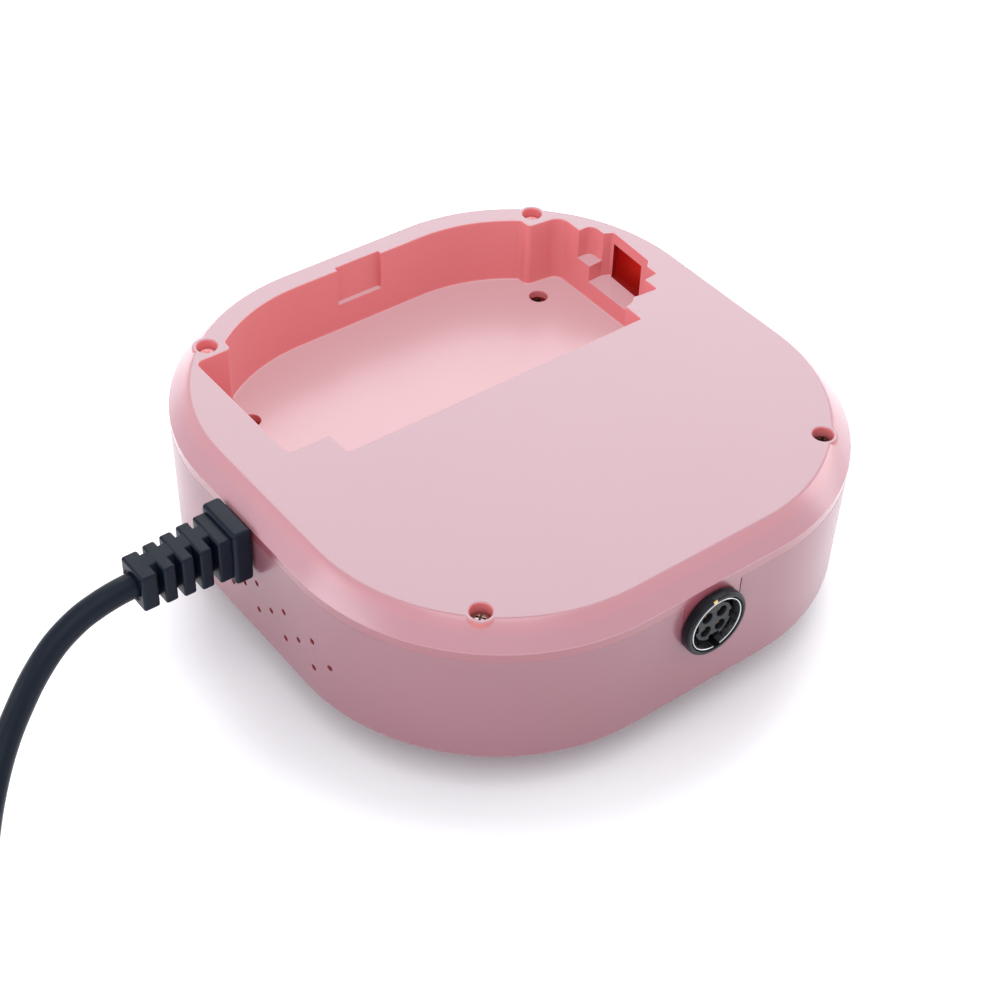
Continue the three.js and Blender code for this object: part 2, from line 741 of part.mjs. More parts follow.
// ---- assembly of the case ----
add("base_cover", baseCover(), PINK);
add("main_housing", mainHousing(), PINK);
corners.forEach(([x, y], i) => {
  add(`case_screw_${i + 1}`, screw(x, y, RECESS_FLOOR + GAP + HEAD_H, 18), STEEL);
});
[-1, 1].forEach((side, i) => {
  const top = POCKET_FLOOR - 3.4 + GAP + HEAD_H;
  add(`pocket_screw_${i + 1}`, screw(side * FLOOR_SCREW.x, FLOOR_SCREW.y, top, 4.6), DARK_STEEL);
});

// ---- assembly of the control side ----
add("display_lens", rod(HUB_R - 0.4, 0, 0, 0, 1.1, 48), GLOSS_BLACK);
add("display_hub", displayHub(), BLACK);
add("display_module", block(-15, 15, -8, 8, 6, PCB_Z - GAP), WHITE);
add("speed_ring", speedRing(), ALUMINIUM);
add("ring_gear", ringGear(), WHITE);
const pinion = add("encoder_pinion", encoderPinion(), WHITE);
const encoder = add("encoder_body", encoderBody(), STEEL);
pinion.position.x = GEAR_SPAN;
encoder.position.x = GEAR_SPAN;
buttonPlaces.forEach((x, i) => {
  add(buttonNames[i], button(x), BLACK);
  const switchLow = FACE_IN_Z + 1.3 + BUTTON_TRAVEL + GAP;
  const body = block(x - 3, x + 3, BUTTON_Y - 3, BUTTON_Y + 3, switchLow + 0.2, PCB_Z - GAP);
  add(`tact_switch_${i + 1}`, body, BLACK);
});
add("control_board", controlBoard(), BOARD);

// ---- assembly of the power side ----
add("power_board", powerBoard(), BOARD);
const partsZ = POWER_Z + PCB_T + GAP;
add("transformer_core", transformerCore(), LAMINATION);
add("transformer_winding", transformerWinding(), COPPER);
add("transformer_frame", transformerFrame(), STEEL);
add("capacitor_1", capacitor(-14, -18, partsZ, 6, 15), BLACK);
add("capacitor_2", capacitor(-14, -33, partsZ, 6, 15), BLACK);
add("bridge_rectifier", block(-34, -24, -21, -17.5, partsZ, partsZ + 10), BLACK);
add("heat_sink", heatSink(-32, -38, partsZ), ALUMINIUM);
add("power_transistor", block(-37, -27, -44, -39.3, partsZ, partsZ + 13), BLACK);
add("fuse", rodX(2.6, -9, partsZ + 3, -42, -22, 16), WHITE);
const TERMINAL = { x0: -54, x1: -44, y0: -32, y1: -20, high: 9 };
const { x0, x1, y0, y1, high } = TERMINAL;
add("terminal_block", block(x0, x1, y0, y1, partsZ, partsZ + high), WHITE);
controlBoardScrews.forEach(([x, y], i) => {
  add(`control_board_screw_${i + 1}`, smallScrew(x, y, PCB_Z + PCB_T + GAP, false), STEEL);
});
powerBoardScrews.forEach(([x, y], i) => {
  add(`power_board_screw_${i + 1}`, smallScrew(x, y, POWER_Z - GAP, true), STEEL);
});
transformerScrews.forEach(([x, y], i) => {
  const low = TRANSFORMER.z + TRANSFORMER.high;
  add(`transformer_screw_${i + 1}`, smallScrew(x, y, low, true, 3.4), STEEL);
});

// ---- assembly of the socket ----
add("socket_bezel", socketBezel(), BLACK);
add("socket_shield", socketShield(), STEEL);
add("socket_insulator", socketInsulator(), BLACK);
contacts.forEach((place, i) => add(`socket_contact_${i + 1}`, socketContact(place), BRASS));
add("socket_nut", socketNut(), STEEL);

// ---- mains lead, its coil and its plug ----
add("strain_relief", strainRelief(), BLACK);

const LEAD_R = LEAD_D / 2;
const LEAD_SIDES = 12;

// A bar of round section along a smooth curve through the points.
function cable(points, r, steps, sides) {
  const shape = new THREE.Shape();
  for (let k = 0; k < sides; k++) {
    const angle = (k * 2 * Math.PI) / sides;
    const p = [r * Math.cos(angle), r * Math.sin(angle)];
    if (k === 0) shape.moveTo(...p);
    else shape.lineTo(...p);
  }
  const extrudePath = new THREE.CatmullRomCurve3(points.map((p) => new THREE.Vector3(...p)));
  return solid(new THREE.ExtrudeGeometry(shape, { steps, extrudePath, bevelEnabled: false }));
}

// From the strain relief down to the table, and beside the coil.
const leadRoute = [
  [RELIEF_END - GAP, LEAD_Y, LEAD_Z],
  [-97.2, 4.2, 35.4],
  [-101.6, 4.1, 34.7],
  [-106.5, 3.8, 33.4],
  [-112.4, 3, 30.6],
  [-118.2, 1.5, 26.4],
  [-123.2, -0.4, 21.9],
  [-127.7, -2.8, 17.9],
  [-132.2, -6.2, 13.9],
  [-136.8, -10.8, 10],
  [-141.2, -16.4, 7.2],
  [-143.8, -19.6, 6.2],
];
add("mains_lead", cable(leadRoute, LEAD_R, 18, LEAD_SIDES), BLACK);

// The coil: three turns wide and two high, lying on its tie.
const COIL = { x: -195.5, y: -14, r: 39.8, half: 8.6, low: 1.2, high: 11.4 };
function leadCoil() {
  const low = COIL.low;
  const high = COIL.low + COIL.high;
  const soft = 2.4;
  const near = COIL.r - COIL.half;
  const far = COIL.r + COIL.half;
  const profile = [
    [near + soft, low],
    [far - soft, low],
    [far, low + soft],
    [far, high - soft],
    [far - soft, high],
    [near + soft, high],
    [near, high - soft],
    [near, low + soft],
    [near + soft, low],
  ];
  const ring = new THREE.LatheGeometry(profile.map((p) => new THREE.Vector2(...p)), 40);
  return solid(ring.rotateX(Math.PI / 2).translate(COIL.x, COIL.y, 0));
}
add("lead_coil", leadCoil(), BLACK);

function coilTie() {
  const half = 6;
  const sheet = 0.8;
  const middle = COIL.y - COIL.r;
  const reach = COIL.half + 0.7; // the ring curves a little under the tie
  const low = COIL.low - GAP;
  const high = COIL.low + COIL.high + GAP;
  const y0 = middle - reach + 0.2;
  const y1 = middle + reach + 0.5;
  const outer = block(
    COIL.x - half,
    COIL.x + half,
    y0 - sheet,
    y1 + sheet,
    low - sheet,
    high + sheet,
  );
  return cut(outer, block(COIL.x - half - 1, COIL.x + half + 1, y0, y1, low, high));
}
add("coil_tie", coilTie(), BLACK);

// The end of the lead leaves the coil and curls round to the plug beside it.
const PLUG = { x: -190, y: 50.8, z: 7.2, long: 29, half: 13.2, wide: 17.3, high: 13.7 };
const SLEEVE = { long: 15, r0: 3.9, r1: 5.2 };
const tailRoute = [
  [-240.4, 14.4, 7.4],
  [-240.2, 21, 5.4],
  [-238.2, 31.5, 3.9],
  [-231.6, 42.2, 3.5],
  [-221.6, 48.9, 4.3],
  [-214.5, 50.5, 6],
  [-209, 50.8, 7],
  [PLUG.x - SLEEVE.long - GAP, PLUG.y, PLUG.z],
];
add("lead_tail", cable(tailRoute, LEAD_R, 14, LEAD_SIDES), BLACK);

function mainsPlug() {
  const { x, y, z, long, half, wide, high } = PLUG;
  const shape = new THREE.Shape();
  const face = x + long;
  shape.moveTo(x, y - half + 4);
  shape.quadraticCurveTo(x + 1, y - half, x + 6, y - half);
  shape.lineTo(face - 12, y - wide);
  shape.lineTo(face - 5, y - wide);
  shape.lineTo(face, y - half);
  shape.lineTo(face, y + half);
  shape.lineTo(face - 5, y + wide);
  shape.lineTo(face - 12, y + wide);
  shape.lineTo(x + 6, y + half);
  shape.quadraticCurveTo(x + 1, y + half, x, y + half - 4);
  const sleeve = new THREE.CylinderGeometry(SLEEVE.r1, SLEEVE.r0, SLEEVE.long + 1, 16);
  sleeve.rotateZ(-Math.PI / 2).translate(x - (SLEEVE.long - 1) / 2, y, z);
  return join(prism(shape, z - high / 2, z + high / 2, 4), solid(sleeve));
}
add("mains_plug", mainsPlug(), BLACK);
[-1, 1].forEach((side, i) => {
  const start = PLUG.x + PLUG.long + GAP;
  const reach = 18.7;
  add(`plug_pin_${i + 1}`, rodX(2, PLUG.y + side * 9.3, PLUG.z, start, start + reach), BRASS);
});

// Two cores of the lead, from the strain relief to the terminal block.
const CORE_R = 1;
const coreStart = -HALF_X + WALL + 4 + GAP;
const cores = [
  [
    [coreStart, LEAD_Y, LEAD_Z + 1.6],
    [-57, 0, 38],
    [-53, -8, 35],
    [-48.5, -15, 30],
    [-47, TERMINAL.y1 + 0.6, 28],
  ],
  [
    [coreStart, LEAD_Y, LEAD_Z - 1.6],
    [-58.5, -1, 33.4],
    [-56, -9, 31],
    [-52.5, -15, 28.8],
    [-51.5, TERMINAL.y1 + 0.6, 28],
  ],
];
cores.forEach((route, i) => add(`mains_core_${i + 1}`, cable(route, CORE_R, 10, 8), COPPER));

export default nailDrill;
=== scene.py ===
import math

import bmesh
import bpy
from mathutils import Matrix, Vector


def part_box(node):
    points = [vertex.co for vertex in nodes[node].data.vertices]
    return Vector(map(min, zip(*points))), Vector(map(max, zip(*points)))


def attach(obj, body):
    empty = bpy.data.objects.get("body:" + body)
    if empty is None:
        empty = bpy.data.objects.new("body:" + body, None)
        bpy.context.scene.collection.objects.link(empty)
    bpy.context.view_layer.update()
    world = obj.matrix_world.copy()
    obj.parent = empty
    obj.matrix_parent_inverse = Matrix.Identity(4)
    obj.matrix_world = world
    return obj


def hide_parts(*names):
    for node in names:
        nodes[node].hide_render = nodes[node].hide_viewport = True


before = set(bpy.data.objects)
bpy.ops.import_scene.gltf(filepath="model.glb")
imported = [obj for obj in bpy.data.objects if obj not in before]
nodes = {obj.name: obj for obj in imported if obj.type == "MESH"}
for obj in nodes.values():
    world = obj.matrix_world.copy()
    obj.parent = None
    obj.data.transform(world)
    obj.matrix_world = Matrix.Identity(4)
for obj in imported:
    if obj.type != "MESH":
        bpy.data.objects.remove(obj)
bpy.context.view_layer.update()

MM = 0.001


def box_of(node):
    low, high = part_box(node)
    return Vector(low) / MM, Vector(high) / MM


HOUSING_LOW, HOUSING_HIGH = box_of("main_housing")
MID_Y = (HOUSING_LOW.y + HOUSING_HIGH.y) / 2
HALF_X = (HOUSING_HIGH.x - HOUSING_LOW.x) / 2
HALF_Y = (HOUSING_HIGH.y - HOUSING_LOW.y) / 2
CORNER_R = 50
STAND = HOUSING_LOW.z
SEAM_Z = HOUSING_HIGH.z
BASE_Z = box_of("base_cover")[1].z
CREASE = 5.1  # depth of the band's lower edge under the flat face
WALL = 2.2
GAP = 0.3  # clearance between parts


def place(point):
    x, y, z = point
    return Vector((x, y + MID_Y, z)) * MM


# ---------------------------------------------------------------- camera
CAMERA_AT = (-217.1, -267.6, 324.7)
AZIMUTH = math.radians(-38.88)
ELEVATION = math.radians(42.11)
ROLL = math.radians(2.4)
LENS = 71.93


def add_camera():
    data = bpy.data.cameras.new("camera")
    data.lens = LENS
    data.sensor_width = 36
    data.clip_end = 20
    camera = bpy.data.objects.new("camera", data)
    bpy.context.scene.collection.objects.link(camera)
    back = Vector(
        (
            math.sin(AZIMUTH) * math.cos(ELEVATION),
            -math.cos(AZIMUTH) * math.cos(ELEVATION),
            math.sin(ELEVATION),
        )
    )
    right = (-back).cross(Vector((0, 0, 1))).normalized()
    up = right.cross(-back)
    side = math.cos(ROLL) * right + math.sin(ROLL) * up
    top = -math.sin(ROLL) * right + math.cos(ROLL) * up
    turn = Matrix((side, top, back)).transposed().to_4x4()
    camera.matrix_world = Matrix.Translation(place(CAMERA_AT)) @ turn
    bpy.context.scene.camera = camera


add_camera()


# ---------------------------------------------------------------- materials
def principled(name, color, roughness, metallic=0.0, coat=0.0, sheen=0.0, specular=0.5):
    material = bpy.data.materials.new(name)
    material.use_nodes = True
    shader = material.node_tree.nodes["Principled BSDF"]
    shader.inputs["Base Color"].default_value = (*color, 1)
    shader.inputs["Roughness"].default_value = roughness
    shader.inputs["Metallic"].default_value = metallic
    shader.inputs["Coat Weight"].default_value = coat
    shader.inputs["Sheen Weight"].default_value = sheen
    shader.inputs["Specular IOR Level"].default_value = specular
    return material, shader


def noise(material, scale, detail=3.0, stretch=(1, 1, 1)):
    tree = material.node_tree
    coordinates = tree.nodes.new("ShaderNodeTexCoord")
    mapping = tree.nodes.new("ShaderNodeMapping")
    mapping.inputs["Scale"].default_value = stretch
    texture = tree.nodes.new("ShaderNodeTexNoise")
    texture.inputs["Scale"].default_value = scale
    texture.inputs["Detail"].default_value = detail
    tree.links.new(coordinates.outputs["Object"], mapping.inputs["Vector"])
    tree.links.new(mapping.outputs["Vector"], texture.inputs["Vector"])
    return texture.outputs["Fac"]


def ramp(material, source, low, high, at=(0.3, 0.7)):
    tree = material.node_tree
    node = tree.nodes.new("ShaderNodeValToRGB")
    for element, color, position in zip(node.color_ramp.elements, (low, high), at, strict=True):
        element.color = (*color, 1) if len(color) == 3 else color
        element.position = position
    tree.links.new(source, node.inputs["Fac"])
    return node.outputs["Color"]


def shaded(color, amount):
    return tuple(min(1.0, c * amount) for c in color)


def vary_color(material, shader, color, amount, scale):
    made = ramp(material, noise(material, scale), shaded(color, 1 - amount), shaded(color, 1 + amount))
    material.node_tree.links.new(made, shader.inputs["Base Color"])


def vary_roughness(material, shader, low, high, scale, stretch=(1, 1, 1)):
    made = ramp(material, noise(material, scale, 5.0, stretch), (low,) * 3, (high,) * 3)
    material.node_tree.links.new(made, shader.inputs["Roughness"])


def add_bump(material, shader, source, strength, distance):
    tree = material.node_tree
    bump = tree.nodes.new("ShaderNodeBump")
    bump.inputs["Strength"].default_value = strength
    bump.inputs["Distance"].default_value = distance
    tree.links.new(source, bump.inputs["Height"])
    tree.links.new(bump.outputs["Normal"], shader.inputs["Normal"])


def plastic(name, color, roughness, coat=0.0, specular=0.5):
    """Moulded plastic: a very slight change of tone and of gloss over its surface."""
    material, shader = principled(name, color, roughness, coat=coat, specular=specular)
    vary_color(material, shader, color, 0.012, 14)
    vary_roughness(material, shader, roughness - 0.02, roughness + 0.03, 25)
    return material, shader


def metal(name, color, roughness, stretch=(1, 1, 1)):
    material, shader = principled(name, color, roughness, metallic=1.0)
    vary_color(material, shader, color, 0.06, 200)
    vary_roughness(material, shader, roughness - 0.08, roughness + 0.1, 900, stretch)
    add_bump(material, shader, noise(material, 2500, 2.0, stretch), 0.08, 0.00003)
    return material


PINK_COLOR = (0.36, 0.178, 0.215)
EDGE_GLOW_COLOR = (0.48, 0.2, 0.23)  # painted glow along the top edge, for light that comes through the cover where it is thin
# painted light: the sloping band is lighter than the flat face, for the light that falls on it
BAND_LIGHT_COLOR = (0.44, 0.2, 0.237)
# painted shade on the set-in strip under the crease
STRIP_SHADE_COLOR = (0.29, 0.075, 0.1)
TUB_COLOR = (0.275, 0.108, 0.138)
RECESS_GLOW_COLOR = (0.75, 0.225, 0.235)
FLOOR_COLOR = (0.165, 0.095, 0.11)


def let_light_in(shader, radius):
    """Light goes a little way into the plastic; radius is its reach for red, green and blue."""
    shader.inputs["Subsurface Weight"].default_value = 0.12
    shader.inputs["Subsurface Radius"].default_value = radius
    shader.inputs["Subsurface Scale"].default_value = 1.5 * MM


def glow(shader, color, strength):
    """Painted light: an emission that makes a part glow as if lit through from its other side."""
    shader.inputs["Emission Color"].default_value = (*color, 1)
    shader.inputs["Emission Strength"].default_value = strength


def pink_plastic(name, color, coat=0.0):
    material, shader = plastic(name, color, 0.24, coat=coat, specular=0.8)
    shader.inputs["Coat Roughness"].default_value = 0.25
    let_light_in(shader, (1.0, 0.35, 0.3))
    return material


def tone_by_height(material, tones):
    """Colours the surface by its depth under the flat face: (depth, color) pairs, lowest first."""
    tree = material.node_tree
    coordinates = tree.nodes.new("ShaderNodeTexCoord")
    split = tree.nodes.new("ShaderNodeSeparateXYZ")
    scale = tree.nodes.new("ShaderNodeMapRange")
    deepest = 10
    scale.inputs["From Min"].default_value = (BASE_Z - deepest) * MM
    scale.inputs["From Max"].default_value = BASE_Z * MM
    band = tree.nodes.new("ShaderNodeValToRGB")
    elements = band.color_ramp.elements
    while len(elements) < len(tones):
        elements.new(1)
    for element, (depth, color) in zip(elements, tones, strict=True):
        element.position = 1 - depth / deepest
        element.color = (*color, 1)
    tree.links.new(coordinates.outputs["Object"], split.inputs["Vector"])
    tree.links.new(split.outputs["Z"], scale.inputs["Value"])
    tree.links.new(scale.outputs["Result"], band.inputs["Fac"])
    shader = tree.nodes["Principled BSDF"]
    tree.links.new(band.outputs["Color"], shader.inputs["Base Color"])


def glowing_floor_plastic():
    # Painted glow on the recess floors, which evens out the shade near their walls.
    material, shader = plastic("pink_plastic_pocket_floor_painted_glow", FLOOR_COLOR, 0.3, specular=0.9)
    glow(shader, (1, 0.55, 0.59), 0.46)
    return material


def recess_glow_plastic():
    # Painted glow on the walls of recesses and holes: coral, for light bounced between the pink walls.
    material, shader = plastic("pink_plastic_recess_walls_painted_glow", RECESS_GLOW_COLOR, 0.36)
    let_light_in(shader, (1.0, 0.3, 0.25))
    return material


pink = pink_plastic("pink_plastic", PINK_COLOR, 0.6)
# Painted light and shade by depth: shade on the strip, a lighter band, and a glow along the top edge.
tone_by_height(
    pink,
    [(CREASE + 0.35, STRIP_SHADE_COLOR), (CREASE + 0.05, BAND_LIGHT_COLOR), (2.6, BAND_LIGHT_COLOR)]
    + [(1.4, EDGE_GLOW_COLOR), (0.08, EDGE_GLOW_COLOR), (0.015, PINK_COLOR)],
)
# Painted shade: a darker coral on the sides of the bosses where they stand out of the band.
boss_side_shade = plastic("pink_plastic_boss_sides_painted_shade", (0.56, 0.17, 0.17), 0.3)[0]
tub_pink = pink_plastic("pink_plastic_housing", TUB_COLOR)
recess_wall_glow = recess_glow_plastic()
pocket_floor_glow = glowing_floor_plastic()
# Painted glow: the inside of the case is a glowing deep red, for light that comes through its pink walls.
inside_glow, inside_glow_shader = plastic("pink_plastic_inside_painted_glow", (0.75, 0.03, 0.02), 0.4)
glow(inside_glow_shader, (1, 0.02, 0.012), 0.1)
# Painted shade: dark red on the sides of the niche's window.
window_shade = plastic("pink_plastic_window_painted_shade", (0.3, 0.01, 0.008), 0.45)[0]
# Painted shade: dark red on the walls of the vent holes.
vent_wall_shade = plastic("pink_plastic_vents_painted_shade", (0.36, 0.07, 0.08), 0.45)[0]
black = plastic("black_plastic", (0.005, 0.007, 0.012), 0.4, specular=0.25)[0]
rubber = plastic("lead_plastic", (0.003, 0.007, 0.016), 0.38, specular=0.18)[0]
gloss_black = plastic("black_gloss", (0.006, 0.008, 0.011), 0.2, coat=0.2)[0]
satin_black = plastic("black_satin", (0.004, 0.005, 0.008), 0.34, specular=0.24)[0]
slate = plastic("socket_plastic", (0.007, 0.01, 0.015), 0.45, specular=0.35)[0]
white = plastic("white_plastic", (0.8, 0.79, 0.75), 0.45)[0]
board_green = plastic("circuit_board", (0.03, 0.17, 0.07), 0.4, coat=0.3)[0]
steel = metal("steel", (0.62, 0.62, 0.63), 0.3)
# Darker and browner than the plain steel.
brownish_steel = metal("brownish_steel", (0.42, 0.33, 0.3), 0.3)
capped, capped_shader = plastic("pink_screw_cap", (0.7, 0.36, 0.37), 0.4)
# Painted glow on the pink caps.
glow(capped_shader, (1, 0.5, 0.52), 0.25)
dark_steel = metal("dark_steel", (0.12, 0.075, 0.06), 0.42)
brass = metal("brass", (0.78, 0.55, 0.24), 0.24)
copper = metal("copper", (0.5, 0.2, 0.09), 0.35, (1, 1, 12))
laminated = metal("laminated_steel", (0.2, 0.2, 0.21), 0.5, (1, 1, 40))
aluminium = metal("aluminium", (0.78, 0.79, 0.81), 0.3, (1, 1, 20))


def woven_fabric():
    material, shader = principled("tie_fabric", (0.016, 0.016, 0.018), 0.9, sheen=0.4)
    tree = material.node_tree
    coordinates = tree.nodes.new("ShaderNodeTexCoord")
    weave = tree.nodes.new("ShaderNodeTexWave")
    weave.inputs["Scale"].default_value = 700
    weave.inputs["Distortion"].default_value = 1.5
    tree.links.new(coordinates.outputs["Object"], weave.inputs["Vector"])
    add_bump(material, shader, weave.outputs["Fac"], 0.6, 0.0003)
    return material


fabric = woven_fabric()


# ---------------------------------------------------------------- mesh building
def new_object(name, mesh):
    made = bpy.data.objects.new(name, mesh)
    bpy.context.scene.collection.objects.link(made)
    return made


def solid(name, points, faces):
    """A mesh object from millimetre points in the box's frame, its faces turned outwards."""
    mesh = bpy.data.meshes.new(name)
    mesh.from_pydata([place(p) for p in points], [], faces)
    work = bmesh.new()
    work.from_mesh(mesh)
    bmesh.ops.recalc_face_normals(work, faces=work.faces)
    work.to_mesh(mesh)
    work.free()
    return new_object(name, mesh)


def bake(made):
    """Makes the object's mesh what its modifiers make of it."""
    graph = bpy.context.evaluated_depsgraph_get()
    mesh = bpy.data.meshes.new_from_object(made.evaluated_get(graph))
    if not any(mesh.materials):
        mesh.materials.clear()
    made.modifiers.clear()
    old = made.data
    made.data = mesh
    bpy.data.meshes.remove(old)


def combine(target, operation, *tools):
    for tool in tools:
        step = target.modifiers.new("step", "BOOLEAN")
        step.operation = operation
        step.solver = "MANIFOLD"
        step.material_mode = "TRANSFER"
        step.object = tool
        bake(target)
        bpy.data.objects.remove(tool)
    return target


def join(target, *tools):
    return combine(target, "UNION", *tools)


def cut(target, *tools):
    return combine(target, "DIFFERENCE", *tools)


def dressed(made, material, flat=None):
    """The object with a material on its faces, and another one on those that lie flat."""
    mesh = made.data
    mesh.materials.append(material)
    if flat:
        mesh.materials.append(flat)
        for face in mesh.polygons:
            face.material_index = int(abs(face.normal.z) > 0.7)
    return made


def loft(name, rings, closed=False):
    """Skin through rings with equal numbers of points; the ends are capped, or joined if closed."""
    count = len(rings[0])
    points = [p for ring in rings for p in ring]
    levels = len(rings)
    faces = []
    for k in range(levels if closed else levels - 1):
        low, high = k * count, (k + 1) % levels * count
        for i in range(count):
            j = (i + 1) % count
            faces.append((low + i, low + j, high + j, high + i))
    if not closed:
        faces.append(tuple(range(count))[::-1])
        faces.append(tuple(range((levels - 1) * count, levels * count)))
    return solid(name, points, faces)


def box_ring(inset, z):
    """The box's rounded-square outline."""
    steps = 20
    r = CORNER_R - inset
    ring = []
    for q in range(4):
        sx = 1 if q in (0, 3) else -1
        sy = 1 if q < 2 else -1
        for step in range(steps + 1):
            angle = (q + step / steps) * math.pi / 2
            x = sx * (HALF_X - CORNER_R) + r * math.cos(angle)
            y = sy * (HALF_Y - CORNER_R) + r * math.sin(angle)
            ring.append((x, y, z))
    return ring


def box_loft(name, profile):
    return loft(name, [box_ring(inset, z) for inset, z in profile])


AXES = {
    "x": lambda r, a, h: (h, r * math.cos(a), r * math.sin(a)),
    "y": lambda r, a, h: (r * math.cos(a), h, r * math.sin(a)),
    "z": lambda r, a, h: (r * math.cos(a), r * math.sin(a), h),
}
TURNS = [k / 4 * math.pi / 2 for k in range(5)]  # a quarter turn, for rounded edges


def turned(name, profile, centre, axis="z", sides=48):
    """A solid of revolution; profile is a list of (radius, height), closed on itself if it
    does not start and end on the axis."""
    on_axis = profile[0][0] == 0
    shape = profile[1:-1] if on_axis else profile
    cx, cy, cz = centre
    points, faces = [], []
    for k in range(sides):
        angle = 2 * math.pi * k / sides
        for r, h in shape:
            x, y, z = AXES[axis](r, angle, h)
            points.append((cx + x, cy + y, cz + z))
    count = len(shape)
    last = count if not on_axis else count - 1
    for k in range(sides):
        a, b = k * count, (k + 1) % sides * count
        for i in range(last):
            j = (i + 1) % count
            faces.append((a + i, b + i, b + j, a + j))
    if on_axis:
        for index, i in ((0, 0), (-1, count - 1)):
            x, y, z = AXES[axis](0, 0, profile[index][1])
            points.append((cx + x, cy + y, cz + z))
            tip = len(points) - 1
            faces += [(k * count + i, (k + 1) % sides * count + i, tip) for k in range(sides)]
    return solid(name, points, faces)


def bar(name, r, centre, h0, h1, axis="z", sides=32, soft=0.0, flare=0.0):
    """A round bar with softened ends, or one that flares at its top to cut a rounded rim."""
    profile = [(0, h0)]
    if soft:
        profile += [(r - soft + soft * math.sin(t), h0 + soft - soft * math.cos(t)) for t in TURNS]
        profile += [(r - soft + soft * math.cos(t), h1 - soft + soft * math.sin(t)) for t in TURNS]
    elif flare:
        profile += [(r, h0)]
        profile += [(r + flare * (1 - math.cos(t)), -flare + flare * math.sin(t)) for t in TURNS]
        profile += [(r + flare, h1)]
    else:
        profile += [(r, h0), (r, h1)]
    profile.append((0, h1))
    return turned(name, profile, centre, axis, sides)


def block(name, x0, x1, y0, y1, z0, z1, soft=0.0):
    """A box with all its edges rounded by soft."""
    corners = [(x, y, z) for x in (x0, x1) for y in (y0, y1) for z in (z0, z1)]
    faces = [(0, 1, 3, 2), (4, 6, 7, 5), (0, 4, 5, 1), (2, 3, 7, 6), (0, 2, 6, 4), (1, 5, 7, 3)]
    made = solid(name, corners, faces)
    if soft:
        round_edges(made, soft)
    return made


def round_edges(made, width, segments=3):
    bevel = made.modifiers.new("bevel", "BEVEL")
    bevel.width = width * MM
    bevel.segments = segments
    bevel.limit_method = "ANGLE"
    bevel.angle_limit = math.radians(30)
    bake(made)
    return made


def finish_surface(made, material):
    """Smooth shading with crisp edges, and the material on every face that has none yet."""
    mesh = made.data
    if not mesh.materials:
        mesh.materials.append(material)
    mesh.shade_smooth()
    mesh.set_sharp_from_angle(angle=math.radians(32))
    weighted = made.modifiers.new("normals", "WEIGHTED_NORMAL")
    weighted.keep_sharp = True
    weighted.mode = "FACE_AREA"
    return made


def piece(made, material, body, *replaced):
    """A finished object that moves with a body and stands for the CAD nodes it replaces."""
    finish_surface(made, material)
    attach(made, body)
    if replaced:
        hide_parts(*replaced)
    return made


# ---------------------------------------------------------------- outlines
def offset_outline(corners, grow):
    """Moves every edge of a counter-clockwise outline of (x, y, radius) outwards by grow."""
    count = len(corners)
    moved = []
    for i in range(count):
        before, here, after = (Vector(corners[k % count][:2]) for k in (i - 1, i, i + 1))
        a, b = (here - before).normalized(), (after - here).normalized()
        normal_a, normal_b = Vector((a.y, -a.x)), Vector((b.y, -b.x))
        middle = normal_a + normal_b
        point = here + middle * (2 * grow / middle.length_squared)
        bend = a.x * b.y - a.y * b.x
        radius = corners[i][2]
        if radius:
            radius = max(0.05, radius + (grow if bend > 0 else -grow))
        moved.append((point.x, point.y, radius))
    return moved


def rounded(corners, z, steps=5):
    """The outline's points at height z, with each radius as an arc."""
    count = len(corners)
    ring = []
    for i in range(count):
        before, here, after = (Vector(corners[k % count][:2]) for k in (i - 1, i, i + 1))
        radius = corners[i][2]
        if not radius:
            ring.append((here.x, here.y, z))
            continue
        a, b = (here - before).normalized(), (after - here).normalized()
        bend = a.x * b.y - a.y * b.x
        angle = math.atan2(bend, a.dot(b))
        reach = radius * math.tan(abs(angle) / 2)
        start = here - a * reach
        side = Vector((-a.y, a.x)) * (1 if bend > 0 else -1)
        centre = start + side * radius
        for k in range(steps + 1):
            turn = Matrix.Rotation(angle * k / steps, 2)
            p = centre + turn @ (-side * radius)
            ring.append((p.x, p.y, z))
    return ring


def recess(name, corners, floor, top, rim=0.35, fillet=0.6):
    """A cutting solid with a fillet round its floor and a rounded rim at the height top."""
    levels = [(-fillet * (1 - math.sin(t)), floor + fillet * (1 - math.cos(t))) for t in TURNS]
    levels += [(rim * (1 - math.cos(t)), top - rim + rim * math.sin(t)) for t in TURNS]
    levels.append((rim, top + 2))
    return loft(name, [rounded(offset_outline(corners, grow), z) for grow, z in levels])


def arc(cx, cy, r, start, end, steps):
    """Corner points on an arc, angles in degrees."""
    turns = [math.radians(start + (end - start) * k / steps) for k in range(steps + 1)]
    return [(cx + r * math.cos(t), cy + r * math.sin(t), 0) for t in turns]


# ---------------------------------------------------------------- base cover
SCREW_X, SCREW_Y = 46.5, 51.5
SCREWS = [(-SCREW_X, SCREW_Y), (SCREW_X, SCREW_Y), (SCREW_X, -SCREW_Y), (-SCREW_X, -SCREW_Y)]
RECESS_R = 2.35
BOSS_R = 3.4
RECESS_DEPTH = 3.7
RECESS_FLOOR = BASE_Z - RECESS_DEPTH
BOSS_FOOT = BASE_Z - 13.4
POCKET_FLOOR = BASE_Z - 17.5
POCKET_SHELL = 1.8
FLOOR_SCREW = (41.9, 41.8)
FLOOR_RECESS_DEPTH = 3.4
SOCKET_Z = BASE_Z - 15
BARREL_R = 7.4
SOCKET_SLOT = 7.9  # half the width of the housing's slot over the socket
LEAD_Y = 4.2
LEAD_Z = BASE_Z - 10.8
NECK = 8.4  # the strain relief's square neck in the wall
LEAD_D = 5.6


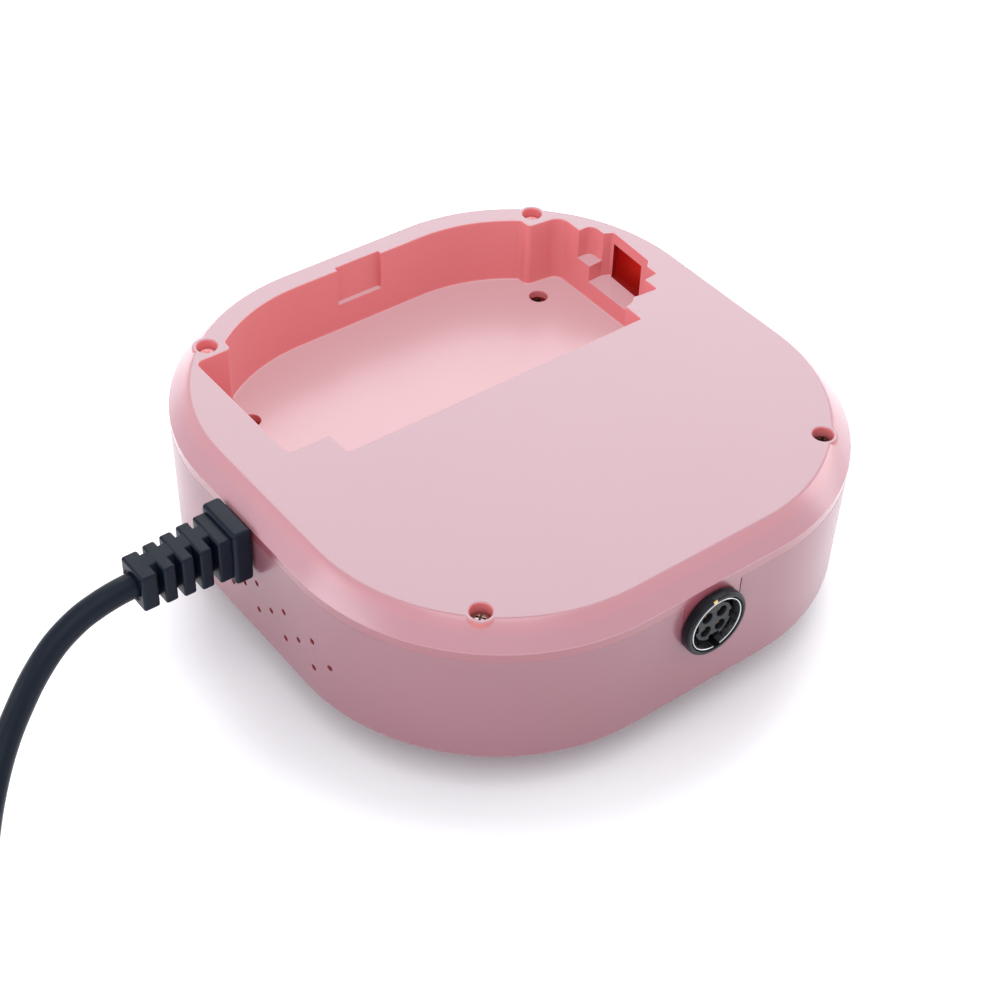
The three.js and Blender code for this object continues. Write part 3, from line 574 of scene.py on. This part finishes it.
def pocket_outline():
    """Stepped edges at the near side, wings at both sides, and rounded far corners."""
    centre_x, centre_y, r = HALF_X - CORNER_R, HALF_Y - CORNER_R, 39.8
    far_x = 42.4
    end = math.degrees(math.acos((far_x - centre_x) / r))
    far_y = centre_y + r * math.sin(math.radians(end))
    right = arc(centre_x, centre_y, r, end, 90, 10)[1:]
    left = [(-x, y, c) for x, y, c in right][::-1]
    return (
        [(-41, 3, 1.2), (40.8, 3.1, 0.3), (40.9, 8.7, 0.3), (43.5, 9.4, 0.15), (44.9, 10.6, 0.15)]
        + [(47.7, 10.3, 0.2), (51.5, 10, 0.2)]
        + [(51.6, 46.4, 3.2), (far_x, 47.4, 1.4), (far_x, far_y, 1.2)]
        + right
        + left
        + [(-far_x, far_y, 1.2), (-far_x, 47.6, 1.3), (-51.6, 47.6, 1.4)]
        + [(-51.6, 9.9, 2.2), (-41, 9.9, 1.0)]
    )


NICHE = [
    (50.5, 14.2, 0),
    (55.4, 14.7, 0.15),
    (55.4, 18.1, 0.15),
    (57.2, 19.8, 0.15),
    (57.9, 33.6, 0.9),
    (55.6, 34.6, 0.4),
    (50.5, 34.4, 0),
]
NICHE_FLOOR = BASE_Z - 12.6
NICHE_SHELL = BASE_Z - 14.4
WINDOW = (22, 33, NICHE_FLOOR, BASE_Z - 3)  # an opening in the niche's outer wall
SHELF = [(50.5, 33.5, 0), (55.6, 33.5, 0), (55.6, 39.1, 2.1), (50.5, 39.1, 0)]
SHELF_FLOOR = BASE_Z - 8.1
LATCH = [(-6.2, 57, 0), (6.2, 57, 0), (6.2, 60, 0.2), (-6.2, 60, 0.2)]
LATCH_FLOOR = BASE_Z - 10.2


def cover_outside():
    """The flat face, the convex sloping band, its crease and the set-in strip under it."""
    strip_in = 0.05
    strip = [(strip_in, BASE_Z - SEAM_Z + 0.25), (strip_in, CREASE + 0.3)]
    band = [(strip_in, CREASE), (1.05, 3.95), (2.2, 2.72), (3.35, 1.5), (4.2, 0.66)]
    rim = [(4.62, 0.3), (4.86, 0.12), (5.1, 0.03), (5.5, 0)]
    return box_loft("cover", [(inset, BASE_Z - down) for inset, down in strip + band + rim])


def pocket_shell(top):
    """The pocket's floor and walls from outside, up to the height top."""
    outline = offset_outline(pocket_outline(), POCKET_SHELL)
    return loft("shell", [rounded(outline, z) for z in (POCKET_FLOOR - POCKET_SHELL, top)])


def base_cover():
    cover = dressed(cover_outside(), pink)
    for index, (x, y) in enumerate(SCREWS):
        boss = bar(f"boss_{index}", BOSS_R, (x, y, 0), BOSS_FOOT, BASE_Z - 0.01, soft=0.35, sides=40)
        join(cover, dressed(boss, boss_side_shade, pink))
    hollow = box_loft(
        "hollow",
        [(2.6, SEAM_Z - 1), (2.6, BASE_Z - CREASE - 1), (6.6, BASE_Z - WALL)],
    )
    dressed(hollow, inside_glow)
    keep = [
        pocket_shell(BASE_Z),
        block("niche", 50, 59.2, 12.8, 40.8, NICHE_SHELL, BASE_Z),
        block("latch", -8, 8, 57, 61.8, LATCH_FLOOR - POCKET_SHELL, BASE_Z),
    ]
    keep += [bar("boss", BOSS_R, (x, y, 0), BOSS_FOOT - 1, BASE_Z, sides=24) for x, y in SCREWS]
    cut(hollow, *keep)
    cut(cover, hollow)
    half, neck = SOCKET_SLOT - 0.2, NECK / 2
    tab = block("tab", -half, half, -HALF_Y + 0.1, -HALF_Y + WALL, SOCKET_Z, SEAM_Z + 1)
    lead_tab = block(
        "tab", -HALF_X + 0.1, -HALF_X + WALL, LEAD_Y - neck, LEAD_Y + neck, LEAD_Z, SEAM_Z + 1
    )
    niche_shell = block("shell", 50, 59, 12.8, 40.8, NICHE_SHELL, BASE_Z - 5)
    join(cover, tab, lead_tab, pocket_shell(BASE_Z - 4), niche_shell)
    cutters = [
        dressed(recess("pocket", pocket_outline(), POCKET_FLOOR, BASE_Z), recess_wall_glow, pocket_floor_glow),
        dressed(recess("niche", NICHE, NICHE_FLOOR, BASE_Z, rim=0.2, fillet=0.3), recess_wall_glow, pocket_floor_glow),
        dressed(recess("shelf", SHELF, SHELF_FLOOR, BASE_Z, rim=0.2, fillet=0.3), recess_wall_glow, pocket_floor_glow),
        dressed(recess("latch", LATCH, LATCH_FLOOR, BASE_Z, rim=0.3, fillet=0.3), recess_wall_glow, pocket_floor_glow),
        dressed(block("window", 56.5, 60, *WINDOW), window_shade),
        bar("barrel", BARREL_R, (0, 0, SOCKET_Z), -HALF_Y - 4, -HALF_Y + 6, "y", 48),
    ]
    for x, y in SCREWS:
        hole = bar("hole", RECESS_R, (x, y, BASE_Z), -RECESS_DEPTH, 2, sides=36, flare=0.35)
        cutters.append(dressed(hole, recess_wall_glow, pink))
    for side in (-1, 1):
        x, y = FLOOR_SCREW
        at = (side * x, y, POCKET_FLOOR)
        hole = bar("hole", 2.2, at, -FLOOR_RECESS_DEPTH, 1, sides=32, flare=0.15)
        cutters.append(dressed(hole, recess_wall_glow, pink))
    cut(cover, *cutters)
    return cover


piece(base_cover(), pink, "case", "base_cover")


# ---------------------------------------------------------------- main housing
RING_HOLE_R = 28.6
BUTTON_Y = -48
BUTTONS = {"mode_button": -17, "power_button": 0, "direction_button": 17}
BUTTON_R = 4.6


def housing_outside():
    edge = 2.3
    foot = [
        (edge + 0.35 - edge * math.sin(t), STAND + edge * (1 - math.cos(t)))
        for t in (k / 7 * math.pi / 2 for k in range(8))
    ]
    top = [(0, SEAM_Z - 0.12), (0.05, SEAM_Z)]
    return box_loft("housing", foot + top)


VENT_R = 0.75
VENT_Y, VENT_Z = 8.75, BASE_Z - 28  # the lowest hole of the group that is nearest the lead
VENT_GROUP = 10.5
VENT_STEP_Y, VENT_STEP_Z = 5.2, 3.9
VENT_END = -30


def vent_holes():
    """Slanting groups of three in the left wall, and the same in the right one."""
    holes = []
    for group in range(-2, 4):
        for k in range(3):
            y = VENT_Y - VENT_GROUP * group - VENT_STEP_Y * k
            z = VENT_Z + VENT_STEP_Z * k
            if y < VENT_END:
                continue
            for side in (-1, 1):
                hole = bar("vent", VENT_R, (side * HALF_X, -side * y, z), -4, 4, "x", 16)
                holes.append(dressed(hole, vent_wall_shade))
    return holes


def face_hole(x, y, r, rim, sides):
    """Cuts a round hole through the control face, with a rounded rim."""
    profile = [(0, STAND + 4), (r, STAND + 4)]
    profile += [(r + rim * (1 - math.cos(t)), STAND + rim - rim * math.sin(t)) for t in TURNS]
    profile += [(r + rim, STAND - 2), (0, STAND - 2)]
    return turned("face_hole", profile, (x, y, 0), sides=sides)


def main_housing():
    housing = housing_outside()
    hollow = box_loft(
        "hollow", [(WALL + 1.2, STAND + WALL), (WALL, STAND + WALL + 2), (WALL, SEAM_Z + 1)]
    )
    dressed(housing, tub_pink)
    dressed(hollow, inside_glow)
    half, neck = SOCKET_SLOT, NECK / 2 + GAP
    cutters = [
        hollow,
        block("slot", -half, half, -HALF_Y - 1, -HALF_Y + 4, SOCKET_Z, SEAM_Z + 1),
        bar("barrel", BARREL_R, (0, 0, SOCKET_Z), -HALF_Y - 4, -HALF_Y + 6, "y", 48),
        block(
            "slot", -HALF_X - 1, -HALF_X + 4, LEAD_Y - neck, LEAD_Y + neck, LEAD_Z - neck, SEAM_Z + 1
        ),
        face_hole(0, 0, RING_HOLE_R, 0.5, 96),
    ]
    cutters += [face_hole(x, BUTTON_Y, BUTTON_R + GAP, 0.4, 48) for x in BUTTONS.values()]
    cut(housing, *cutters, *vent_holes())
    for index, (x, y) in enumerate(SCREWS):
        post = turned(
            f"post_{index}",
            [(3.1, STAND + 1), (3.1, BOSS_FOOT - GAP), (1.7, BOSS_FOOT - GAP), (1.7, STAND + 3)]
            + [(0.6, STAND + 2.5), (0.6, STAND + 1)],
            (x, y, 0),
            sides=32,
        )
        join(housing, post)
    return housing


piece(main_housing(), tub_pink, "case", "main_housing")


# ---------------------------------------------------------------- screws
def screw(name, x, y, z, length, material, node):
    """A pan-head screw with its top at z and a cross recess."""
    r = HEAD_R
    dome = [(r * math.sin(t), z - 0.55 + 0.55 * math.cos(t)) for t in (0.25, 0.5, 0.8, 1.1, 1.4)]
    profile = [(0, z), *dome, (r, z - 0.75), (r - 0.1, z - 1.5), (1.3, z - 1.55), (1.3, z - length + 1)]
    made = turned(name, [*profile, (0.3, z - length), (0, z - length)], (x, y, 0), sides=32)
    askew = 0.6
    for k in range(2):
        slot = block("slot", -1.15, 1.15, -0.26, 0.26, -1.0, 1.0)
        turn = Matrix.Rotation(askew + k * math.pi / 2, 4, "Z")
        slot.data.transform(Matrix.Translation(-place((0, 0, 0))))
        slot.data.transform(Matrix.Translation(place((x, y, z))) @ turn)
        cut(made, slot)
    return piece(made, material, "case", node)


HEAD_R = 1.9
HEAD_TOP = GAP + 1.6  # above the floor of a screw's recess
for index, (x, y) in enumerate(SCREWS):
    finish = (capped, capped, dark_steel, brownish_steel)[index]
    node = f"case_screw_{index + 1}"
    screw(f"{node}_head", x, y, RECESS_FLOOR + HEAD_TOP, 18, finish, node)
for index, side in enumerate((-1, 1)):
    node = f"pocket_screw_{index + 1}"
    x, y = FLOOR_SCREW
    top = POCKET_FLOOR - FLOOR_RECESS_DEPTH + HEAD_TOP
    screw(f"{node}_head", side * x, y, top, 4.6, dark_steel, node)


# ---------------------------------------------------------------- handpiece socket
FRONT = -HALF_Y - 2.4
DEEP = -HALF_Y + 13


def socket():
    at = (0, 0, SOCKET_Z)
    bezel = turned(
        "socket_bezel_ring",
        [(8.0, -HALF_Y - 0.32), (8.0, FRONT + 0.5), (7.86, FRONT + 0.18), (7.6, FRONT)]
        + [(7.12, FRONT), (6.96, FRONT + 0.14), (6.96, DEEP - 1.5), (7.1, DEEP - 1.5)]
        + [(7.1, -HALF_Y - 0.3)],
        at,
        "y",
        96,
    )
    flat = block("flat", -3, 3, FRONT - 1, -HALF_Y, SOCKET_Z + 7.85, SOCKET_Z + 9)
    cut(dressed(bezel, satin_black), flat)
    bezel.data.materials.append(brass)
    for face in bezel.data.polygons:
        x, y, z = face.center / MM
        turn = math.degrees(math.atan2(z - SOCKET_Z, x))
        if y - MID_Y < FRONT + 0.2 and 99 < turn < 105:
            face.material_index = 1  # brass here is a painted highlight, for a brass-coloured glint on the front edge
    piece(bezel, satin_black, "case", "socket_bezel")
    ring = turned(
        "socket_shield_ring",
        [(6.66, FRONT + 0.24), (6.6, FRONT + 0.16), (6.44, FRONT + 0.16), (6.38, FRONT + 0.24)]
        + [(6.38, DEEP - 1.9), (6.66, DEEP - 1.9)],
        at,
        "y",
        96,
    )
    cut(ring, block("key", -0.2, 1.5, FRONT - 1, DEEP, SOCKET_Z - 8, SOCKET_Z))
    piece(ring, steel, "case", "socket_shield")
    face = FRONT + 1.2
    disc = turned(
        "socket_insulator_disc",
        [(0, face), (4.7, face), (4.86, face + 0.06), (4.92, face + 0.22), (4.92, DEEP - 5)]
        + [(5.98, DEEP - 5), (5.98, DEEP - 1.9), (0, DEEP - 1.9)],
        at,
        "y",
        72,
    )
    cutters = [block("key", -0.9, 1.9, FRONT, DEEP - 6, SOCKET_Z - 6, SOCKET_Z - 3.6, 0.2)]
    for x in (-4.9, 4.9):
        notch = block("notch", x - 0.8, x + 0.8, FRONT, DEEP - 6, SOCKET_Z - 1, SOCKET_Z + 1, 0.2)
        cutters.append(notch)
    off = 1.95  # of each contact from the socket's axis, sideways and upwards
    for x in (-off, off):
        for z in (-off, off):
            hole = turned(
                "hole",
                [(0, DEEP), (1.3, DEEP), (1.3, face + 0.25), (1.36, face + 0.1), (1.5, face)]
                + [(1.5, face - 1), (0, face - 1)],
                (x, 0, SOCKET_Z + z),
                "y",
                28,
            )
            cutters.append(hole)
    cut(disc, *cutters)
    piece(disc, slate, "case", "socket_insulator")
    places = [(-off, off), (off, off), (-off, -off), (off, -off)]
    for index, (x, z) in enumerate(places):
        low = FRONT + 2.2
        contact = turned(
            f"socket_contact_{index + 1}_sleeve",
            [(0.95, low + 0.2), (0.85, low), (0.62, low), (0.5, low + 0.3), (0.5, DEEP - 3)]
            + [(0.95, DEEP - 3)],
            (x, 0, SOCKET_Z + z),
            "y",
            24,
        )
        piece(contact, brass, "case", f"socket_contact_{index + 1}")


socket()


# ---------------------------------------------------------------- strain relief
MOUTH = 24.2  # how far from the wall the lead's opening starts to widen
RELIEF_LONG = 25.4


def strain_relief():
    """A square gland: flange, collar and four ribs on a flat spine, with a neck through the wall."""
    wall = -HALF_X

    def bar_x(x0, x1, half_y, half_z, soft):
        return block(
            "rib",
            wall - x1,
            wall - x0,
            LEAD_Y - half_y,
            LEAD_Y + half_y,
            LEAD_Z - half_z,
            LEAD_Z + half_z,
            soft,
        )

    relief = bar_x(0.5, 4.9, 6.5, 7.0, 0.9)
    relief.name = "strain_relief_gland"
    ribs = [
        (4.0, 7.9, 5.3, 5.6),
        (9.2, 12.1, 5.1, 5.35),
        (13.35, 16.2, 4.85, 5.1),
        (17.5, 20.35, 4.6, 4.85),
        (21.65, 25.35, 4.35, 4.6),
    ]
    for x0, x1, half_y, half_z in ribs:
        join(relief, bar_x(x0, x1, half_y, half_z, 0.55))
    spine = loft(
        "spine",
        [
            [
                (wall - x, LEAD_Y - 1.5, LEAD_Z - h),
                (wall - x, LEAD_Y + 2.6, LEAD_Z - h),
                (wall - x, LEAD_Y + 2.6, LEAD_Z + h),
                (wall - x, LEAD_Y - 1.5, LEAD_Z + h),
            ]
            for x, h in ((4.5, 5.64), (24.8, 4.54))
        ],
    )
    round_edges(spine, 0.4)
    join(relief, spine)
    inside = wall + WALL + GAP
    for x0, x1, half in ((wall - 2, inside + 1, NECK / 2), (inside, inside + 3, 5.6)):
        join(
            relief,
            block("neck", x0, x1, LEAD_Y - half, LEAD_Y + half, LEAD_Z - half, LEAD_Z + half, 0.3),
        )
    mouth = turned(
        "mouth",
        [(0, 0), (LEAD_D / 2 + 0.1, 0), (LEAD_D / 2 + 0.1, 0.5), (3.5, 0.9), (3.7, 4), (0, 4)],
        (wall - MOUTH, LEAD_Y, LEAD_Z),
        "x",
        32,
    )
    flip = Matrix.Translation(place((wall - MOUTH, LEAD_Y, LEAD_Z)))
    mouth.data.transform(flip @ Matrix.Rotation(math.pi, 4, "Z") @ flip.inverted())
    cut(relief, mouth)
    return piece(relief, rubber, "case", "strain_relief")


relief = strain_relief()


# ---------------------------------------------------------------- mains lead
RELIEF_END = -(HALF_X + RELIEF_LONG)
COIL_X, COIL_Y, COIL_R = -195.5, -14, 39.8
COIL_LOW = 1.2  # room for the tie under the coil
PITCH = LEAD_D + 0.12
JOIN_TURN = math.radians(-33)  # where the lead meets the coil
LEAVE_TURN = math.radians(180)
LOW_Z = COIL_LOW + LEAD_D / 2 + 0.05
HIGH_Z = LOW_Z + PITCH

lead_route = [
    (RELIEF_END + 1.2, LEAD_Y, LEAD_Z),
    (RELIEF_END - GAP, LEAD_Y, LEAD_Z),
    (-97.2, 4.2, 35.4),
    (-101.6, 4.1, 34.7),
    (-106.5, 3.8, 33.4),
    (-112.4, 3, 30.6),
    (-118.2, 1.5, 26.4),
    (-123.2, -0.4, 21.9),
    (-127.7, -2.8, 17.9),
    (-132.2, -6.2, 13.9),
    (-136.8, -10.8, 10),
    (-141.2, -16.4, 7.2),
    (-146, -22.5, 5.6),
    (-151.6, -30, 4.8),
]
tail_route = [
    (-241, -4, 9.6),
    (-240.8, 6, 8.8),
    (-240.4, 14.4, 7.4),
    (-240.2, 21, 5.4),
    (-238.2, 31.5, 3.9),
    (-231.6, 42.2, 3.5),
    (-221.6, 48.9, 4.3),
    (-214.5, 50.5, 6),
    (-209, 50.8, 7),
    (-205.3, 50.8, 7.2),
]


def ease(part):
    part = min(max(part, 0.0), 1.0)
    return part * part * (3 - 2 * part)


def coil_route():
    """Three turns inwards, a climb, and the turns above them outwards; the changes of turn lie in
    three sectors one after another, so that no two turns meet."""
    sector = math.radians(40)
    revolution = 2 * math.pi
    start, end = 3 * sector, 5 * revolution + 3 * sector + JOIN_TURN - LEAVE_TURN + revolution
    step = math.radians(10)
    count = round((end - start) / step)
    points = []
    for k in range(count + 1):
        turn = start + (end - start) * k / count
        low = ease((turn - revolution - 2 * sector) / sector)
        low += ease((turn - 2 * revolution - 2 * sector) / sector)
        up = ease((turn - 3 * revolution - sector) / sector)
        high = ease((turn - 4 * revolution) / sector) + ease((turn - 5 * revolution) / sector)
        r = COIL_R + PITCH * (1 - low + high)
        angle = JOIN_TURN + 3 * sector - turn
        points.append(
            (
                COIL_X + r * math.cos(angle),
                COIL_Y + r * math.sin(angle),
                LOW_Z + (HIGH_Z - LOW_Z) * up,
            )
        )
    return points


def smooth_points(route, steps):
    """A Catmull-Rom curve through the route's points."""
    points = [Vector(p) for p in route]
    padded = [2 * points[0] - points[1], *points, 2 * points[-1] - points[-2]]
    made = []
    for a, b, c, d in zip(padded, padded[1:], padded[2:], padded[3:], strict=False):
        for k in range(steps):
            t = k / steps
            made.append(
                0.5
                * (
                    2 * b
                    + (c - a) * t
                    + (2 * a - 5 * b + 4 * c - d) * t**2
                    + (3 * b - a - 3 * c + d) * t**3
                )
            )
    return [*made, points[-1]]


def add_lead():
    path = [place(p) for p in smooth_points(lead_route + coil_route() + tail_route, 4)]
    curve = bpy.data.curves.new("mains_lead_cable", "CURVE")
    curve.dimensions = "3D"
    curve.bevel_depth = LEAD_D / 2 * MM
    curve.bevel_resolution = 6
    curve.use_fill_caps = True
    line = curve.splines.new("POLY")
    line.points.add(len(path) - 1)
    for point, at in zip(line.points, path, strict=True):
        point.co = (*at, 1)
    line.use_smooth = True
    curve.materials.append(rubber)
    made = bpy.data.objects.new("mains_lead_cable", curve)
    bpy.context.scene.collection.objects.link(made)
    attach(made, "case")
    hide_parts("mains_lead", "lead_coil", "lead_tail")
    return made, path


lead, lead_path = add_lead()


# ---------------------------------------------------------------- plug
PLUG_X, PLUG_Y, PLUG_Z = -190, 50.8, 7.2  # the middle of the plug's cord end
PIN_OFF = 9.3


def mains_plug():
    """A two-pin plug with a ribbed sleeve; it is narrower at its face and its cord end."""
    long, half, wide, high = 29, 13.2, 17.3, 13.7
    edge = 1.6
    face = PLUG_X + long
    side = [
        (PLUG_X, half - 4, 2.5),
        (PLUG_X + 3, half, 4),
        (face - 12, wide - 0.3, 4),
        (face - 5, wide, 2),
        (face, half, 0.6),
    ]
    corners = [(x, PLUG_Y - y, r) for x, y, r in side]
    corners += [(x, PLUG_Y + y, r) for x, y, r in side[::-1]]
    levels = [(-edge * (1 - math.sin(t)), edge * (1 - math.cos(t))) for t in TURNS]
    levels += [(g, high - z) for g, z in levels[::-1]]
    low = PLUG_Z - high / 2
    body = loft("mains_plug_body", [rounded(offset_outline(corners, g), low + z) for g, z in levels])
    sleeve = [(0, -15), (3.7, -15), (3.9, -14.7)]
    for k in range(4):
        at = -13.4 + k * 3.1
        r = 4.0 + 0.32 * k
        sleeve += [(r, at), (r, at + 1.9), (r - 0.7, at + 2.15), (r - 0.7, at + 2.85)]
    sleeve += [(5.5, -0.6), (5.6, 1.5), (0, 1.5)]
    join(body, turned("sleeve", sleeve, (PLUG_X, PLUG_Y, PLUG_Z), "x", 40))
    for z in (low, low + high):
        grip = turned(
            "grip",
            [(7.2, -0.35), (7.2, 0.35), (7.6, 0.35), (7.6, -0.35)],
            (PLUG_X + 11, PLUG_Y, z),
            sides=48,
        )
        cut(body, grip)
    made = piece(body, rubber, "case", "mains_plug")
    pins = []
    start = face + GAP
    for index, offset in enumerate((-PIN_OFF, PIN_OFF)):
        pin = turned(
            f"plug_pin_{index + 1}_contact",
            [(0, start), (2, start), (2, start + 16.9), (1.8, start + 17.8), (1.2, start + 18.5)]
            + [(0, start + 18.7)],
            (0, PLUG_Y + offset, PLUG_Z),
            "x",
            32,
        )
        pins.append(piece(pin, brass, "case", f"plug_pin_{index + 1}"))
    return made, pins


plug, pins = mains_plug()


# ---------------------------------------------------------------- tie round the coil
def coil_tie():
    low, high = box_of("coil_tie")
    low.y -= MID_Y
    high.y -= MID_Y
    sheet = 0.8
    steps = 6
    section = [
        (low.y, low.z, high.y, high.z, 3.2),
        (low.y + sheet, low.z + sheet, high.y - sheet, high.z - sheet, 2.6),
    ]
    outlines = []
    for y0, z0, y1, z1, r in section:
        flat = rounded([(y0, z0, r), (y1, z0, r), (y1, z1, r), (y0, z1, r)], 0, steps)
        outlines.append([(y, z) for y, z, _ in flat])
    rings = [
        [(low.x, y, z) for y, z in outlines[0]],
        [(high.x, y, z) for y, z in outlines[0]],
        [(high.x, y, z) for y, z in outlines[1]],
        [(low.x, y, z) for y, z in outlines[1]],
    ]
    strap = loft("coil_tie_strap", rings, closed=True)
    round_edges(strap, 0.2, 2)
    return piece(strap, fabric, "case", "coil_tie")


tie = coil_tie()


# ---------------------------------------------------------------- control side
def display():
    low, high = box_of("display_lens")
    r = (high.x - low.x) / 2
    lens = turned(
        "display_lens_disc",
        [(0, high.z), (r - 0.2, high.z), (r, high.z - 0.2), (r, low.z + 0.3), (r - 0.3, low.z)]
        + [(0, low.z)],
        (0, 0, 0),
        sides=96,
    )
    piece(lens, gloss_black, "case", "display_lens")
    low, high = box_of("display_hub")
    r = (high.x - low.x) / 2
    hub = turned(
        "display_hub_tube",
        [(r - 1.8, low.z + 0.6), (r - 0.4, low.z), (r, low.z + 0.4), (r, high.z), (r - 1.8, high.z)],
        (0, 0, 0),
        sides=96,
    )
    shelf = turned(
        "shelf", [(r - 6, 2.2), (r - 1, 2.2), (r - 1, 3.4), (r - 6, 3.4)], (0, 0, 0), sides=64
    )
    join(hub, shelf)
    piece(hub, black, "case", "display_hub")


def speed_ring():
    low, high = box_of("speed_ring")
    r, inner, skirt = (high.x - low.x) / 2, 24.3, 27.3
    top = STAND - 0.4
    flutes, flute_r, flute_off = 60, 0.8, r + 0.42
    ring = turned(
        "speed_ring_grip",
        [(inner, low.z + 0.5), (inner + 0.5, low.z), (r - 1.6, low.z), (r - 0.5, low.z + 0.5)]
        + [(r, low.z + 1.5), (r, top - 0.4), (r - 0.4, top), (skirt, top), (skirt, high.z)]
        + [(inner, high.z)],
        (0, 0, 0),
        sides=120,
    )
    grooves = None
    for k in range(flutes):
        angle = 2 * math.pi * k / flutes
        at = flute_off * math.cos(angle), flute_off * math.sin(angle), 0
        groove = bar("groove", flute_r, at, low.z + 2, top + 1, sides=12)
        if grooves is None:
            grooves = groove
            continue
        grooves = merged(grooves, groove)
    cut(ring, grooves)
    piece(ring, aluminium, "speed_dial", "speed_ring")


def merged(first, second):
    """Both meshes as one object, with no boolean: they do not touch."""
    work = bmesh.new()
    work.from_mesh(first.data)
    work.from_mesh(second.data)
    work.to_mesh(first.data)
    work.free()
    bpy.data.objects.remove(second)
    return first


def button(node, x):
    """A key with a hollow in its face, and a flange inside the case that keeps it in its hole."""
    low, high = box_of(node)
    hollow = 0.35
    dish = [(r, low.z + hollow - hollow * (r / (BUTTON_R - 0.9)) ** 2) for r in (1.2, 2.4, 3.7)]
    cap = turned(
        f"{node}_cap",
        [(0, low.z + hollow), *dish]
        + [(BUTTON_R - 0.5, low.z + 0.12), (BUTTON_R - 0.12, low.z + 0.4), (BUTTON_R, low.z + 0.8)]
        + [(BUTTON_R, high.z - 1), (BUTTON_R + 1.2, high.z - 1), (BUTTON_R + 1.2, high.z)]
        + [(0, high.z)],
        (x, BUTTON_Y, 0),
        sides=64,
    )
    body = {"mode_button": "mode_key", "power_button": "power_key", "direction_button": "direction_key"}
    piece(cap, black, body[node], node)


display()
speed_ring()
for node, x in BUTTONS.items():
    button(node, x)


# ---------------------------------------------------------------- inner parts that stay as they are
def give(material, *names):
    for name in names:
        slots = nodes[name].data.materials
        slots.clear()
        slots.append(material)


give(white, "display_module", "ring_gear", "encoder_pinion", "fuse", "terminal_block")
give(steel, "encoder_body", "socket_nut", "transformer_frame")
give(board_green, "control_board", "power_board")
give(laminated, "transformer_core")
give(copper, "transformer_winding", "mains_core_1", "mains_core_2")
give(aluminium, "heat_sink")
give(black, "capacitor_1", "capacitor_2", "bridge_rectifier", "power_transistor")
give(black, "tact_switch_1", "tact_switch_2", "tact_switch_3")
for node in nodes:
    if node.startswith(("control_board_screw", "power_board_screw", "transformer_screw")):
        give(steel, node)


# ---------------------------------------------------------------- floor and light
# Lengths here are metres. The table glows, apart from a painted round shadow under the box.
PAINTED_SHADOW_MIDDLE = (-0.01, -0.011, 0)
SHADOW_FADE_RADII = (0.068, 0.088)
TABLE_GLOW = 0.38
TABLE_HALF = 6


def add_floor():
    material, shader = principled("floor", (0.93, 0.93, 0.94), 0.75, specular=0.2)
    vary_roughness(material, shader, 0.7, 0.8, 30)
    shader.inputs["Emission Color"].default_value = (0.93, 0.95, 1, 1)
    tree = material.node_tree
    coordinates = tree.nodes.new("ShaderNodeTexCoord")
    distance = tree.nodes.new("ShaderNodeVectorMath")
    distance.operation = "DISTANCE"
    distance.inputs[1].default_value = PAINTED_SHADOW_MIDDLE
    tree.links.new(coordinates.outputs["Object"], distance.inputs[0])
    # painted shadow: no glow near the shadow's middle, rising to full glow further out
    made = ramp(material, distance.outputs["Value"], (0, 0, 0), (TABLE_GLOW,) * 3, SHADOW_FADE_RADII)
    tree.links.new(made, shader.inputs["Emission Strength"])
    mesh = bpy.data.meshes.new("floor")
    corners = [(x * TABLE_HALF, y * TABLE_HALF, 0) for x, y in ((-1, -1), (1, -1), (1, 1), (-1, 1))]
    mesh.from_pydata(corners, [], [(0, 1, 2, 3)])
    mesh.materials.append(material)
    floor = new_object("floor", mesh)


def add_softbox(name, at, toward, size, power, color=(1, 1, 1)):
    data = bpy.data.lights.new(name, "AREA")
    data.shape = "RECTANGLE"
    data.size, data.size_y = size
    data.energy = power
    data.color = color
    light = bpy.data.objects.new(name, data)
    bpy.context.scene.collection.objects.link(light)
    turn = (Vector(toward) - Vector(at)).to_track_quat("-Z", "Y")
    light.matrix_world = Matrix.Translation(at) @ turn.to_matrix().to_4x4()


def add_world():
    world = bpy.data.worlds.new("world")
    world.use_nodes = True
    background = world.node_tree.nodes["Background"]
    background.inputs["Color"].default_value = (0.96, 0.97, 1, 1)
    background.inputs["Strength"].default_value = 0.95
    bpy.context.scene.world = world


add_floor()
add_world()
add_softbox("behind", (0.75, 0.95, 1.05), (0, 0, 0), (1.5, 1.1), 10.5)
add_softbox("front", (-0.39, -0.48, 1.53), (0, 0, 0), (1.2, 1.2), 6)
add_softbox("left", (-1.3, 0.35, 0.4), (0, 0, 0.03), (0.9, 0.7), 5, (0.9, 0.94, 1))
add_softbox("right", (1.4, -0.35, 0.45), (0, 0, 0.03), (0.8, 0.6), 3.5)
bpy.context.scene.view_settings.view_transform = "Standard"
